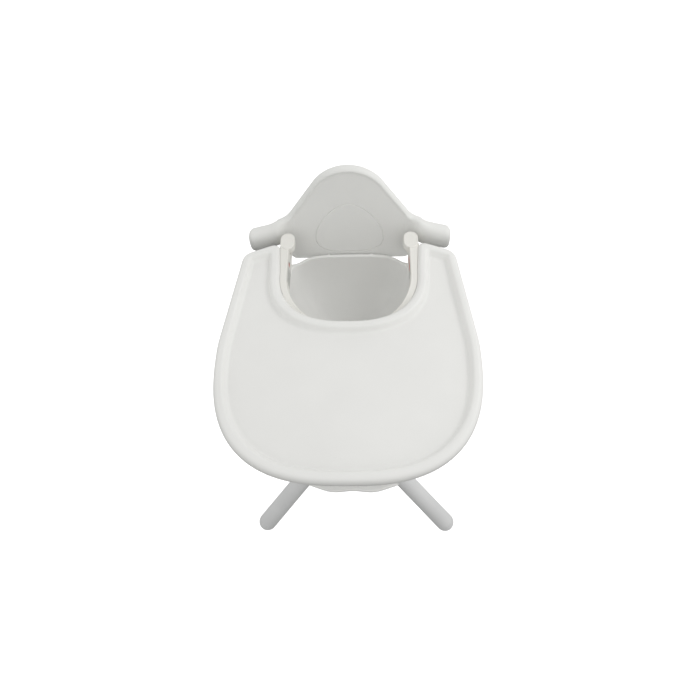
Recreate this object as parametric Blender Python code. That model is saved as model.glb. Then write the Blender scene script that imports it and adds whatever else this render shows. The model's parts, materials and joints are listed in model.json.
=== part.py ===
"""Baby high chair: bucket seat, horseshoe arm rail, bell-shaped back, sliding tray and four splayed legs.

Metres, +Z up, the chair faces -Y. The origin is on the floor at the middle of the chair's box.
Each sub-part is one named object and one closed body, with about 0.3 mm between touching pieces.
"""

import math

import bmesh
import bpy
from mathutils import Matrix, Vector

# ---- driving dimensions ----
GAP = 0.0003
ROUND_SIDES = 18
SOCKET_SIDES = 20
SMALL_SIDES = 8

# tray
TRAY_FLOOR = 0.735
TRAY_RIM_TOP = 0.750
TRAY_WALL = 0.003
TRAY_SKIRT_OUTER = 0.716
TRAY_SKIRT_INNER = 0.7225
TRAY_HALF_WIDTH = 0.2552
TRAY_WIDEST_Y = -0.051
TRAY_FRONT_Y = -0.3093
TRAY_FRONT_POWER = 2.69
TRAY_SIDE_SLOPE = 0.125
TRAY_SIDE_FOOT = (0.2530, -0.020)
TRAY_REAR_POINT = (0.184, 0.2015)
TRAY_REAR_SLOPE = 0.387
TRAY_REAR_CORNER = 0.030
TRAY_HORN_CORNER = 0.012

# cut-out for the child
CUT_HALF_WIDTH = 0.1425
CUT_REAR_HALF_WIDTH = 0.1475
CUT_WAIST_Y = 0.137
CUT_REAR_Y = 0.200
CUT_FRONT_Y = 0.0145
CUT_POWER = 2.5

# arm rail
ARM_TOP = 0.7205
ARM_FLANGE_BOTTOM = 0.7125
ARM_BOTTOM = 0.690
ARM_INNER = 0.130
ARM_FRONT_INNER_Y = 0.022
ARM_FLANGE_OUTER = 0.172
ARM_FLANGE_FRONT_Y = -0.022
ARM_FLANGE_CORNER = 0.010
ARM_BEAM_OUTER = 0.150
ARM_BEAM_FRONT_Y = 0.000
ARM_END = (0.142, 0.2235)
ARM_END_RADIUS = 0.0125
CURB_INNER = ARM_INNER + 0.0003
CURB_OUTER = 0.142
CURB_END_OUTER = 0.1484
CURB_END_Y = 0.220
CURB_FRONT_OUTER_Y = 0.0155
CURB_FOOT = 0.714
CURB_LOW = 0.719
CURB_TOP = 0.7435
CURB_RISE = 0.070
HEAD_X = 0.134
HEAD_Y = 0.218
HEAD_REACH = 0.007
HEAD_RADIUS = 0.0155
HEAD_NECK_RADIUS = 0.008
HEAD_FOOT = 0.716
HEAD_TOP = 0.7445
ARM_SCREW_PLACES = ((0.141, 0.160, "rear"), (0.141, 0.100, "front"))
ARM_SCREW_REACH = 0.016
POST_Y = 0.011
POST_FOOT_Y = -0.0125
BACK_SCREW_X = 0.141
BACK_SCREW_Z = 0.7055
TRAY_TRAVEL = 0.100
RECESS_DEPTH = 0.0055
RECESS_SPARE = 0.0065

# seat bucket
SEAT_HALF_WIDTH = 0.1305
SEAT_MID_Y = 0.115
SEAT_REAR_REACH = 0.120
SEAT_FRONT_REACH = 0.117
SEAT_REAR_POWER = 4.2
SEAT_FRONT_POWER = 3.0
SEAT_SIDE_TOP = ARM_BOTTOM - GAP
SEAT_REAR_TOP = 0.668
SEAT_FRONT_TOP = 0.540
SEAT_BOTTOM = 0.505
SEAT_BOTTOM_Y = 0.100
SEAT_WALL = 0.0035
SEAT_FLANGE = 0.0185
SEAT_REAR_FLANGE = 0.006
SEAT_FLANGE_THICK = 0.004
SEAT_BACK_SCREW = (0.050, 0.6645)
SEAT_BACK_BOSS_Y = (0.2430, 0.2355)

# back
BACK_TOP = 0.8808
BACK_BOTTOM = 0.652
BACK_FOOT_Y = 0.24332
BACK_LEAN = 0.17
BACK_CROWN_RADIUS = 0.0920
BACK_SHOULDER = (0.0731, 0.8448)
BACK_SHOULDER_RUN = (1.0, -1.31)
BACK_FLARE = (0.1502, 0.7552)
BACK_FLARE_RUN = (1.0, -0.52)
BACK_SIDE = (0.1625, 0.740)
BACK_SIDE_RUN = (-0.0265, -0.084)
BACK_NECK_RADIUS = 0.060
BACK_HIP_RADIUS = 0.012
BACK_FOOT_RADIUS = 0.014
BACK_SHELL_DEPTH = 0.0165
BACK_COVER_INSET = 0.0065
BACK_COVER_FRONT = 0.0125
BACK_COVER_REAR = 0.0155
BACK_WALL = 0.004
WING_STATIONS = (
    (0.137, 0.7370, 0.2610, 0.0250, 0.0045),
    (0.155, 0.7305, 0.2545, 0.0320, 0.0155),
    (0.177, 0.7255, 0.2506, 0.0290, 0.0185),
    (0.200, 0.7215, 0.2472, 0.0285, 0.0198),
    (0.2085, 0.7205, 0.2453, 0.0280, 0.0200),
)
WING_END = (0.2225, 0.7195, 0.2428)
WING_END_RADIUS = 0.014
EGG_MID_Z = 0.715
EGG_HALF_WIDTH = 0.0765
EGG_RISE = 0.086
EGG_DROP = 0.043
EGG_RECESS = 0.0016

# legs and base
FOOT_X = 0.263
FRONT_FOOT_Y = -0.244
REAR_FOOT_Y = 0.28259
FOOT_CENTRE_Z = 0.0248
FOOT_RADIUS = 0.026
LEG_TAPER = 0.0117
LEG_TOP_X = 0.0555
LEG_TOP_Y_IN = 0.086
LEG_TOP_Z = 0.450
LEG_WALL = 0.003
LEG_START = 0.0125
LEG_END = 0.445
SPIGOT_END = 0.034
COLLAR_START = 0.375
COLLAR_END = 0.500
COLLAR_RADIUS = 0.029
BORE_RADIUS = 0.0226
BUTTON_PLACE = 0.424
BUTTON_RADIUS = 0.0042
BUTTON_OUT = 0.0305
CHASSIS_TOP = 0.5012
CHASSIS_PLATE = 0.005
BOLT_PLACES = ((-0.020, 0.076), (0.020, 0.076), (-0.020, 0.126), (0.020, 0.126))
FOOTREST_BOTTOM = 0.312
FOOTREST_TOP = 0.326
FOOTREST_FRONT_Y = -0.2224
FOOTREST_REAR_Y = -0.128
FOOTREST_SCREW_Z = 0.319
FOOTREST_SCREW_LENGTH = 0.034

# tray rails and latches
RAIL_TOP = 0.7280
RAIL_PLATE = 0.004
RAIL_INNER = 0.154
RAIL_OUTER = 0.200
RAIL_FRONT_Y = 0.030
RAIL_REAR_Y = 0.178
RAIL_WEB = (0.1745, 0.1775)
RAIL_HOOK_INNER = 0.160
RAIL_HOOK = (0.7065, 0.7112)
RAIL_SCREWS_Y = (0.040, 0.152)
PIVOT = (0.188, 0.128)
LEVER_BOTTOM = 0.7130
LEVER_TOP = 0.7200
LEVER_EYE = 0.0075
TOOTH_Y = 0.098
TOOTH_TIP = 0.1678
TOOTH_HALF = 0.0035
PIN_RADIUS = 0.002

REAR_MIRROR_Y = (FRONT_FOOT_Y + REAR_FOOT_Y) / 2
CORNERS = ((1, 1, "front_right"), (-1, 1, "front_left"), (1, -1, "rear_right"), (-1, -1, "rear_left"))


# ---- materials ----
def material(name, colour, roughness, metallic=0.0):
    made = bpy.data.materials.new(name)
    made.use_nodes = True
    shader = made.node_tree.nodes["Principled BSDF"]
    shader.inputs["Base Color"].default_value = (*colour, 1.0)
    shader.inputs["Roughness"].default_value = roughness
    shader.inputs["Metallic"].default_value = metallic
    return made


# ---- mesh building ----
def publish(name, bm, finish, origin=(0.0, 0.0, 0.0), parent=None):
    """Turns a bmesh in world coordinates into a named object whose origin is at the given point."""
    bmesh.ops.recalc_face_normals(bm, faces=bm.faces)
    shift = Vector(origin)
    bmesh.ops.translate(bm, verts=bm.verts, vec=-shift)
    mesh = bpy.data.meshes.new(name)
    bm.to_mesh(mesh)
    bm.free()
    mesh.shade_smooth()
    mesh.set_sharp_from_angle(angle=math.radians(38))
    if finish:
        mesh.materials.append(finish)
    made = bpy.data.objects.new(name, mesh)
    bpy.context.scene.collection.objects.link(made)
    made.location = shift
    if parent:
        made.parent = parent
        made.location = shift - parent.location
    return made


def guide(name, bm):
    """A cutter or an added lump: it shapes another piece and isn't a piece itself."""
    made = publish(name, bm, None)
    made.hide_render = True
    made.display_type = "WIRE"
    return made


def boolean(target, tool, operation):
    step = target.modifiers.new(operation.lower() + "_" + tool.name, "BOOLEAN")
    step.operation = operation
    step.solver = "EXACT"
    step.object = tool


def empty(name, place):
    made = bpy.data.objects.new(name, None)
    bpy.context.scene.collection.objects.link(made)
    made.location = place
    return made


def bridge(bm, first, second):
    """Joins two closed rings of vertices that have the same count."""
    count = len(first)
    for i in range(count):
        j = (i + 1) % count
        bm.faces.new((first[i], first[j], second[j], second[i]))


def stack(rings, bm=None):
    """A closed body through rings of 3-D points, with flat ends."""
    bm = bm or bmesh.new()
    layers = [[bm.verts.new(p) for p in ring] for ring in rings]
    for low, high in zip(layers, layers[1:]):
        bridge(bm, low, high)
    bm.faces.new(layers[0])
    bm.faces.new(reversed(layers[-1]))
    bm.normal_update()
    bmesh.ops.triangulate(bm, faces=[f for f in bm.faces if len(f.verts) > 4])
    return bm


def prism(outline, low, high):
    return stack([[(x, y, z) for x, y in outline] for z in (low, high)])


def box(x0, x1, y0, y1, z0, z1, bm=None):
    return stack([[(x0, y0, z), (x1, y0, z), (x1, y1, z), (x0, y1, z)] for z in (z0, z1)], bm)


def frame_at(origin, direction, side=(1.0, 0.0, 0.0)):
    """A matrix whose Z runs along the direction and whose X leans towards the side given."""
    axis = Vector(direction).normalized()
    across = Vector(side) - axis * Vector(side).dot(axis)
    across.normalize()
    other = axis.cross(across)
    columns = Matrix((across, other, axis)).transposed().to_4x4()
    return Matrix.Translation(Vector(origin)) @ columns


def turned(profile, place, sides=ROUND_SIDES):
    """Turns a closed (radius, height) profile about the Z axis of the matrix. Radius 0 is a pole."""
    bm = bmesh.new()
    rows = []
    for radius, height in profile:
        if radius == 0.0:
            rows.append([bm.verts.new(place @ Vector((0.0, 0.0, height)))])
            continue
        ring = []
        for k in range(sides):
            turn = 2 * math.pi * k / sides
            point = Vector((radius * math.cos(turn), radius * math.sin(turn), height))
            ring.append(bm.verts.new(place @ point))
        rows.append(ring)
    pairs = list(zip(rows, rows[1:]))
    if len(rows[0]) > 1 and len(rows[-1]) > 1:
        pairs.append((rows[-1], rows[0]))
    for first, second in pairs:
        if len(first) > 1 and len(second) > 1:
            bridge(bm, first, second)
            continue
        pole, ring = (first[0], second) if len(first) == 1 else (second[0], first)
        for k in range(sides):
            bm.faces.new((pole, ring[k], ring[(k + 1) % sides]))
    return bm


def rod(radius, start, end, place, sides=SMALL_SIDES):
    return turned([(0.0, start), (radius, start), (radius, end), (0.0, end)], place, sides)


def screw_profile(shank, length, head, head_height):
    """A screw along +Z: head below zero, shank above it, with a short point."""
    return [
        (0.0, -head_height),
        (head * 0.85, -head_height),
        (head, 0.0),
        (shank, 0.0),
        (shank, length),
        (0.0, length),
    ]


def arc(centre, radius, start, end, steps):
    """Points on an arc, angles in degrees, both ends included."""
    points = []
    for k in range(steps + 1):
        turn = math.radians(start + (end - start) * k / steps)
        points.append((centre[0] + radius * math.cos(turn), centre[1] + radius * math.sin(turn)))
    return points


def fillet(before, corner, after, radius, steps):
    """Points that round a corner between two straight runs."""
    a = (Vector(before) - Vector(corner)).normalized()
    b = (Vector(after) - Vector(corner)).normalized()
    half = a.angle(b) / 2
    reach = radius / math.tan(half)
    centre = Vector(corner) + (a + b).normalized() * (radius / math.sin(half))
    first = Vector(corner) + a * reach - centre
    last = Vector(corner) + b * reach - centre
    sweep = first.angle_signed(last)
    points = []
    for k in range(steps + 1):
        turn = -sweep * k / steps
        x = first.x * math.cos(turn) - first.y * math.sin(turn)
        y = first.x * math.sin(turn) + first.y * math.cos(turn)
        points.append((centre.x + x, centre.y + y))
    return points


def meet(point_a, run_a, point_b, run_b):
    """Where two straight lines cross, each given by a point and a direction."""
    across = run_a[0] * run_b[1] - run_a[1] * run_b[0]
    dx = point_b[0] - point_a[0]
    dy = point_b[1] - point_a[1]
    along = (dx * run_b[1] - dy * run_b[0]) / across
    return (point_a[0] + run_a[0] * along, point_a[1] + run_a[1] * along)


def mirrored(half):
    """A closed outline from its +X half, which starts and ends on the middle line."""
    return half + [(-x, y) for x, y in reversed(half[1:-1])]


def smoothstep(value):
    value = min(max(value, 0.0), 1.0)
    return value * value * (3 - 2 * value)


# ---- tray ----
def tray_half(inset):
    """Half of the tray's outline, from the front middle round to the middle of the cut-out."""
    reach = TRAY_WIDEST_Y - TRAY_FRONT_Y - inset
    width = TRAY_HALF_WIDTH - inset
    points = []
    front_steps = 14
    for k in range(front_steps + 1):
        turn = math.pi / 2 * k / front_steps
        x = width * math.sin(turn) ** (2 / TRAY_FRONT_POWER)
        y = TRAY_WIDEST_Y - reach * max(math.cos(turn), 0.0) ** (2 / TRAY_FRONT_POWER)
        points.append((x, y))
    side_run = (-TRAY_SIDE_SLOPE, 1.0)
    side_foot = (TRAY_SIDE_FOOT[0] - inset, TRAY_SIDE_FOOT[1])
    rear_run = (-1.0, TRAY_REAR_SLOPE)
    rear_point = (TRAY_REAR_POINT[0], TRAY_REAR_POINT[1] - inset * math.hypot(1.0, TRAY_REAR_SLOPE))
    cut_run = (CUT_HALF_WIDTH - CUT_REAR_HALF_WIDTH, CUT_WAIST_Y - CUT_REAR_Y)
    cut_point = (CUT_HALF_WIDTH + inset, CUT_WAIST_Y)
    outer = meet(side_foot, side_run, rear_point, rear_run)
    inner = meet(rear_point, rear_run, cut_point, cut_run)
    points.append(side_foot)
    points += fillet(side_foot, outer, inner, max(TRAY_REAR_CORNER - inset, 0.008), 5)
    points += fillet(outer, inner, cut_point, TRAY_HORN_CORNER - 0.25 * inset, 4)
    cut_width = CUT_HALF_WIDTH + inset
    cut_reach = CUT_WAIST_Y - CUT_FRONT_Y + inset
    cut_steps = 10
    for k in range(cut_steps + 1):
        turn = math.pi / 2 * (1 - k / cut_steps)
        x = cut_width * max(math.sin(turn), 0.0) ** (2 / CUT_POWER)
        y = CUT_WAIST_Y - cut_reach * math.cos(turn) ** (2 / CUT_POWER)
        points.append((x, y))
    return points


def skirt_bottom(x, y):
    """The skirt is shallow where the arm rail passes under the tray and deeper outside it."""
    outside = smoothstep((abs(x) - 0.183) / 0.014) if y > -0.05 else 1.0
    if y > -0.05 and abs(x) < CUT_REAR_HALF_WIDTH + 0.012:
        outside = 0.0
    return TRAY_SKIRT_INNER + (TRAY_SKIRT_OUTER - TRAY_SKIRT_INNER) * outside


def tray_ring(inset, height):
    ring = []
    for x, y in mirrored(tray_half(inset)):
        ring.append((x, y, skirt_bottom(x, y) if height is None else height))
    return ring


def tray_top(finish, parent):
    """A moulded shell: skirt, rolled rim and recessed floor, with the same wall underneath."""
    outside = [(0.004, None), (0.0008, 0.728), (0.0012, 0.7405), (0.005, 0.7475), (0.0095, TRAY_RIM_TOP)]
    outside += [(0.0185, 0.7495), (0.0235, 0.7395), (0.0285, TRAY_FLOOR)]
    inside = [(0.007, None), (0.0042, 0.728), (0.0048, 0.739), (0.0078, 0.7445), (0.0108, 0.7468)]
    inside += [(0.0168, 0.7465), (0.0212, 0.7365), (0.0275, TRAY_FLOOR - TRAY_WALL)]
    rings = [tray_ring(*row) for row in reversed(inside)] + [tray_ring(*row) for row in outside]
    made = publish("tray_top", stack(rings), finish, parent=parent)
    for side in (-1, 1):
        for y in RAIL_SCREWS_Y:
            place = Matrix.Translation((side * PIVOT[0], y, 0.0))
            tag = f"{side}_{y}"
            boss = rod(0.0055, RAIL_TOP + GAP, TRAY_FLOOR - TRAY_WALL + 0.001, place, 12)
            boolean(made, guide("boss_" + tag, boss), "UNION")
            pilot = rod(0.0017, RAIL_TOP - 0.002, TRAY_FLOOR - 0.0012, place, 8)
            boolean(made, guide("pilot_" + tag, pilot), "DIFFERENCE")
    return made


def tray_rail(side, finish, parent):
    """A channel that hooks under the edge of the arm rail, with a window for the latch tooth."""
    under = RAIL_TOP - RAIL_PLATE
    profile = [
        (RAIL_INNER, RAIL_TOP),
        (RAIL_OUTER, RAIL_TOP),
        (RAIL_OUTER, under),
        (RAIL_WEB[1], under),
        (RAIL_WEB[1], RAIL_HOOK[0]),
        (RAIL_HOOK_INNER, RAIL_HOOK[0]),
        (RAIL_HOOK_INNER, RAIL_HOOK[1]),
        (RAIL_WEB[0], RAIL_HOOK[1]),
        (RAIL_WEB[0], under),
        (RAIL_HOOK_INNER + 0.003, under),
        (RAIL_HOOK_INNER + 0.003, ARM_TOP + GAP),
        (RAIL_HOOK_INNER, ARM_TOP + GAP),
        (RAIL_HOOK_INNER, under),
        (RAIL_INNER, under),
    ]
    ends = (RAIL_FRONT_Y, RAIL_REAR_Y)
    bm = stack([[(side * x, y, z) for x, z in profile] for y in ends])
    name = "tray_rail_" + word(side)
    made = publish(name, bm, finish, parent=parent)
    window = sorted((side * (RAIL_WEB[0] - 0.004), side * (RAIL_WEB[1] + 0.004)))
    tooth = box(*window, TOOTH_Y - 0.012, TOOTH_Y + 0.008, LEVER_BOTTOM - 0.0008, LEVER_TOP + 0.0008)
    boolean(made, guide(name + "_window", tooth), "DIFFERENCE")
    for y, radius in ((RAIL_SCREWS_Y[0], 0.0017), (RAIL_SCREWS_Y[1], 0.0017), (PIVOT[1], PIN_RADIUS + GAP)):
        place = Matrix.Translation((side * PIVOT[0], y, 0.0))
        hole = rod(radius, under - 0.0015, RAIL_TOP + 0.0015, place, 10)
        boolean(made, guide(f"{name}_hole_{y}", hole), "DIFFERENCE")
    return made


def latch_lever(side, finish, parent):
    """A finger lever under the tray. Pulled outwards, it draws its tooth out of the rail's recess."""
    eye = arc(PIVOT, LEVER_EYE, 0, 180, 8)
    inner = PIVOT[0] - LEVER_EYE
    tooth = [
        (inner + 0.001, TOOTH_Y + TOOTH_HALF + 0.001),
        (TOOTH_TIP, TOOTH_Y + TOOTH_HALF - 0.001),
        (TOOTH_TIP, TOOTH_Y - TOOTH_HALF + 0.001),
        (inner + 0.002, TOOTH_Y - TOOTH_HALF - 0.001),
    ]
    grip = [(0.1845, 0.062), (0.1965, 0.004)]
    grip += arc((0.2045, 0.002), 0.0085, 180, 350, 7)
    grip += [(0.2115, 0.022), (0.196, 0.066)]
    outline = eye + tooth + grip
    ring = [(side * x, y) for x, y in outline]
    name = "latch_lever_" + word(side)
    pivot = (side * PIVOT[0], PIVOT[1], (LEVER_BOTTOM + LEVER_TOP) / 2)
    made = publish(name, prism(ring, LEVER_BOTTOM, LEVER_TOP), finish, pivot, parent)
    place = Matrix.Translation((side * PIVOT[0], PIVOT[1], 0.0))
    hole = rod(PIN_RADIUS + GAP, LEVER_BOTTOM - 0.002, LEVER_TOP + 0.002, place, 12)
    boolean(made, guide(name + "_hole", hole), "DIFFERENCE")
    return made


def latch_pin(side, finish, parent):
    place = Matrix.Translation((side * PIVOT[0], PIVOT[1], LEVER_BOTTOM - GAP))
    length = RAIL_TOP - 0.0002 - LEVER_BOTTOM + GAP
    profile = screw_profile(PIN_RADIUS, length, 0.0048, 0.0027)
    return publish("latch_pin_" + word(side), turned(profile, place, 12), finish, parent=parent)


def coil(turns, radius, wire, height, place, steps, sides):
    """A helix of round wire with flat ends, about the Z axis of the matrix."""
    bm = bmesh.new()
    count = int(turns * steps)
    rings = []
    for k in range(count + 1):
        turn = 2 * math.pi * turns * k / count
        middle = Vector((radius * math.cos(turn), radius * math.sin(turn), height * k / count))
        outward = Vector((math.cos(turn), math.sin(turn), 0.0))
        ring = []
        for j in range(sides):
            roll = 2 * math.pi * j / sides
            offset = outward * (wire * math.cos(roll)) + Vector((0.0, 0.0, wire * math.sin(roll)))
            ring.append(bm.verts.new(place @ (middle + offset)))
        rings.append(ring)
    for first, second in zip(rings, rings[1:]):
        bridge(bm, first, second)
    bm.faces.new(rings[0])
    bm.faces.new(reversed(rings[-1]))
    return bm


def latch_spring(side, finish, parent):
    """A torsion spring round the pivot pin, between the lever and the rail."""
    wire = 0.0004
    low = LEVER_TOP + GAP + wire
    room = RAIL_TOP - RAIL_PLATE - GAP - wire - low
    place = Matrix.Translation((side * PIVOT[0], PIVOT[1], low))
    bm = coil(2.5, 0.0036, wire, room, place, 12, 5)
    return publish("latch_spring_" + word(side), bm, finish, parent=parent)


def rail_screw(side, index, finish, parent):
    y = RAIL_SCREWS_Y[index]
    under = RAIL_TOP - RAIL_PLATE
    place = Matrix.Translation((side * PIVOT[0], y, under - GAP))
    profile = screw_profile(0.0013, 0.0092, 0.0034, 0.002)
    name = f"rail_screw_{word(side)}_{('front', 'rear')[index]}"
    return publish(name, turned(profile, place, SMALL_SIDES), finish, parent=parent)


# ---- arm rail ----
def arm_half(outer, front, corner, end_radius):
    """Half of the arm rail's outline: outer edge, rounded end, then the inner edge."""
    points = [(0.0, front)]
    points += arc((outer - corner, front + corner), corner, -90, 0, 8)
    points.append((outer, 0.120))
    points.append((outer, 0.186))
    points += arc(ARM_END, end_radius, -20, 200, 10)
    points.append((ARM_INNER, 0.190))
    return points + bow(ARM_INNER, ARM_FRONT_INNER_Y)


def bow(half_width, front):
    """Points round the front of a U from its +X side to the middle."""
    points = []
    steps = 10
    for k in range(steps + 1):
        turn = math.pi / 2 * (1 - k / steps)
        x = half_width * max(math.sin(turn), 0.0) ** (2 / CUT_POWER)
        y = CUT_WAIST_Y - (CUT_WAIST_Y - front) * math.cos(turn) ** (2 / CUT_POWER)
        points.append((x, y))
    return points


def arm_curb():
    """The raised inner edge of the rail: level at the sides, sinking under the tray at the front."""
    outer = [(CURB_END_OUTER, CURB_END_Y)] + bow(CURB_OUTER, CURB_FRONT_OUTER_Y)
    inner = [(CURB_INNER, CURB_END_Y)] + bow(CURB_INNER, ARM_FRONT_INNER_Y + CURB_INNER - ARM_INNER)
    half = list(zip(outer, inner))
    other = [((-a[0], a[1]), (-b[0], b[1])) for a, b in reversed(half[:-1])]
    rings = []
    for a, b in half + other:
        top = CURB_LOW + (CURB_TOP - CURB_LOW) * smoothstep((b[1] - ARM_FRONT_INNER_Y) / CURB_RISE)
        rings.append([(*a, CURB_FOOT), (*a, top), (*b, top), (*b, CURB_FOOT)])
    return stack(rings)


def arm_head(side):
    """The rounded head that stands on the end of the rail."""
    rows = [
        (HEAD_NECK_RADIUS, HEAD_FOOT),
        (HEAD_RADIUS, HEAD_FOOT + 0.0115),
        (HEAD_RADIUS, HEAD_TOP - 0.0015),
        (HEAD_RADIUS - 0.0012, HEAD_TOP),
    ]
    rings = []
    for radius, z in rows:
        ring = arc((HEAD_X, HEAD_Y - HEAD_REACH), radius, 180, 360, 8)
        ring += arc((HEAD_X, HEAD_Y + HEAD_REACH), radius, 0, 180, 8)
        rings.append([(side * x, y, z) for x, y in ring])
    return stack(rings)


def arm_rail(finish):
    beam = mirrored(arm_half(ARM_BEAM_OUTER, ARM_BEAM_FRONT_Y, 0.045, ARM_END_RADIUS - 0.0008))
    flange = mirrored(arm_half(ARM_FLANGE_OUTER, ARM_FLANGE_FRONT_Y, ARM_FLANGE_CORNER, ARM_END_RADIUS))
    rings = [
        [(x, y, ARM_BOTTOM) for x, y in beam],
        [(x, y, ARM_FLANGE_BOTTOM - 0.001) for x, y in beam],
        [(x, y, ARM_FLANGE_BOTTOM) for x, y in flange],
        [(x, y, ARM_TOP) for x, y in flange],
    ]
    made = publish("arm_rail", stack(rings), finish)
    boolean(made, guide("arm_curb", arm_curb()), "UNION")
    for side in (-1, 1):
        boolean(made, guide(f"arm_head_{side}", arm_head(side)), "UNION")
    recess = bmesh.new()
    for side in (-1, 1):
        span = sorted((side * (ARM_FLANGE_OUTER - RECESS_DEPTH), side * (ARM_FLANGE_OUTER + 0.004)))
        ends = (TOOTH_Y - TRAY_TRAVEL - RECESS_SPARE, TOOTH_Y + RECESS_SPARE)
        box(*span, *ends, ARM_FLANGE_BOTTOM - 0.004, ARM_TOP + 0.004, bm=recess)
    boolean(made, guide("arm_recess", recess), "DIFFERENCE")
    for place, depth, tag in arm_holes():
        boolean(made, guide("arm_pilot_" + tag, rod(0.0017, -0.002, depth, place, 8)), "DIFFERENCE")
    return made


def arm_holes():
    """Blind holes in the arm rail: four from below, two from behind and one over the post."""
    found = []
    for side in (-1, 1):
        for x, y, tag in ARM_SCREW_PLACES:
            place = Matrix.Translation((side * x, y, ARM_BOTTOM))
            found.append((place, ARM_SCREW_REACH, f"{word(side)}_{tag}"))
        found.append((back_screw_frame(side), 0.012, f"{word(side)}_head"))
    found.append((Matrix.Translation((0.0, POST_Y, ARM_BOTTOM)), 0.016, "post"))
    return found


def back_screw_frame(side):
    """At the back of the arm rail's end, pointing forwards into it."""
    return frame_at((side * BACK_SCREW_X, ARM_END[1] + ARM_END_RADIUS, BACK_SCREW_Z), (0.0, -1.0, 0.0))


def seat_back_frame(side, y):
    """Low in the back panel, pointing forwards into the seat's rear wall."""
    return frame_at((side * SEAT_BACK_SCREW[0], y, SEAT_BACK_SCREW[1]), (0.0, -1.0, 0.0))


# ---- seat ----
def seat_rim(turn):
    """Plan of the bucket's inner rim at an angle, measured from +X round to the back."""
    c = math.cos(turn)
    s = math.sin(turn)
    power = SEAT_REAR_POWER if s > 0 else SEAT_FRONT_POWER
    reach = SEAT_REAR_REACH if s > 0 else SEAT_FRONT_REACH
    x = SEAT_HALF_WIDTH * math.copysign(abs(c) ** (2 / power), c)
    y = SEAT_MID_Y + reach * math.copysign(abs(s) ** (2 / power), s)
    return x, y


def seat_rim_height(x, y):
    """High at the sides under the arm rail, lower at the back, lowest at the leg openings."""
    rear = smoothstep((y - 0.186) / 0.033)
    front = smoothstep((0.075 - y) / 0.045)
    height = SEAT_SIDE_TOP + (SEAT_REAR_TOP - SEAT_SIDE_TOP) * rear
    return height + (SEAT_FRONT_TOP - height) * front


def seat_row(turn, depth, wall):
    """A point of the bucket: depth 1 at the rim and 0 at the bottom, wall outwards."""
    x, y = seat_rim(turn)
    top = seat_rim_height(x, y)
    fall = math.pi / 2 * depth
    spread = math.sin(fall) ** 0.72
    lift = 1 - math.cos(fall) ** 0.95 if depth < 1 else 1.0
    dx = x
    dy = y - SEAT_BOTTOM_Y
    size = math.hypot(dx, dy)
    grown = (size * spread + wall * spread ** 0.5) / size
    return (dx * grown, SEAT_BOTTOM_Y + dy * grown, SEAT_BOTTOM - wall + (top - SEAT_BOTTOM + wall) * lift)


def seat_flange_row(turn, out, drop):
    x, y = seat_rim(turn)
    top = seat_rim_height(x, y)
    size = math.hypot(x, y - SEAT_BOTTOM_Y)
    reach = SEAT_WALL + (out - SEAT_WALL) * seat_flange_share(y)
    grown = (size + reach) / size
    return (x * grown, SEAT_BOTTOM_Y + (y - SEAT_BOTTOM_Y) * grown, top - drop)


def seat_flange_share(y):
    """How much of the full rim width is left: all of it except at the back."""
    least = (SEAT_REAR_FLANGE - SEAT_WALL) / (SEAT_FLANGE - SEAT_WALL)
    return 1 - (1 - least) * smoothstep((y - 0.175) / 0.030)


def seat_shell(finish):
    """A bucket with a turned-out rim: rows from the inner bottom, over the rim, to the outer bottom."""
    bm = bmesh.new()
    around = 44
    turns = [2 * math.pi * k / around for k in range(around)]
    depths = [0.22, 0.38, 0.52, 0.66, 0.79, 0.90]
    rows = [[seat_row(t, d, 0.0) for t in turns] for d in depths]
    rows.append([seat_row(t, 1.0, 0.0) for t in turns])
    rows.append([seat_flange_row(t, SEAT_FLANGE - 0.001, 0.0) for t in turns])
    rows.append([seat_flange_row(t, SEAT_FLANGE, SEAT_FLANGE_THICK) for t in turns])
    rows.append([seat_flange_row(t, SEAT_WALL + 0.001, SEAT_FLANGE_THICK) for t in turns])
    rows += [[seat_row(t, d, SEAT_WALL) for t in turns] for d in reversed(depths)]
    layers = [[bm.verts.new(p) for p in row] for row in rows]
    for first, second in zip(layers, layers[1:]):
        bridge(bm, first, second)
    for row, height in ((layers[0], SEAT_BOTTOM), (layers[-1], SEAT_BOTTOM - SEAT_WALL)):
        middle = bm.verts.new((0.0, SEAT_BOTTOM_Y, height))
        for k in range(around):
            bm.faces.new((middle, row[k], row[(k + 1) % around]))
    made = publish("seat_shell", bm, finish)
    for k, (x, y) in enumerate(BOLT_PLACES):
        place = Matrix.Translation((x, y, 0.0))
        boss = rod(0.007, CHASSIS_TOP - CHASSIS_PLATE + GAP, SEAT_BOTTOM, place, 14)
        boolean(made, guide(f"seat_boss_{k}", boss), "UNION")
        pilot = rod(0.0021, CHASSIS_TOP - CHASSIS_PLATE - 0.002, SEAT_BOTTOM - 0.001, place, 8)
        boolean(made, guide(f"seat_pilot_{k}", pilot), "DIFFERENCE")
    for side in (-1, 1):
        for x, y, tag in ARM_SCREW_PLACES:
            place = Matrix.Translation((side * x, y, ARM_BOTTOM))
            hole = rod(0.0021, -0.012, 0.004, place, 8)
            boolean(made, guide(f"seat_rim_hole_{side}_{tag}", hole), "DIFFERENCE")
        place = seat_back_frame(side, SEAT_BACK_BOSS_Y[0])
        depth = SEAT_BACK_BOSS_Y[0] - SEAT_BACK_BOSS_Y[1]
        boolean(made, guide(f"seat_back_boss_{side}", rod(0.0033, 0.0, depth, place, 12)), "UNION")
        hole = rod(0.0017, -0.004, depth - 0.001, place, 8)
        boolean(made, guide(f"seat_back_hole_{side}", hole), "DIFFERENCE")
    lip = Matrix.Translation((0.0, POST_FOOT_Y, SEAT_FRONT_TOP))
    boolean(made, guide("seat_post_hole", rod(0.0021, -0.012, 0.006, lip, 8)), "DIFFERENCE")
    return made


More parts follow.
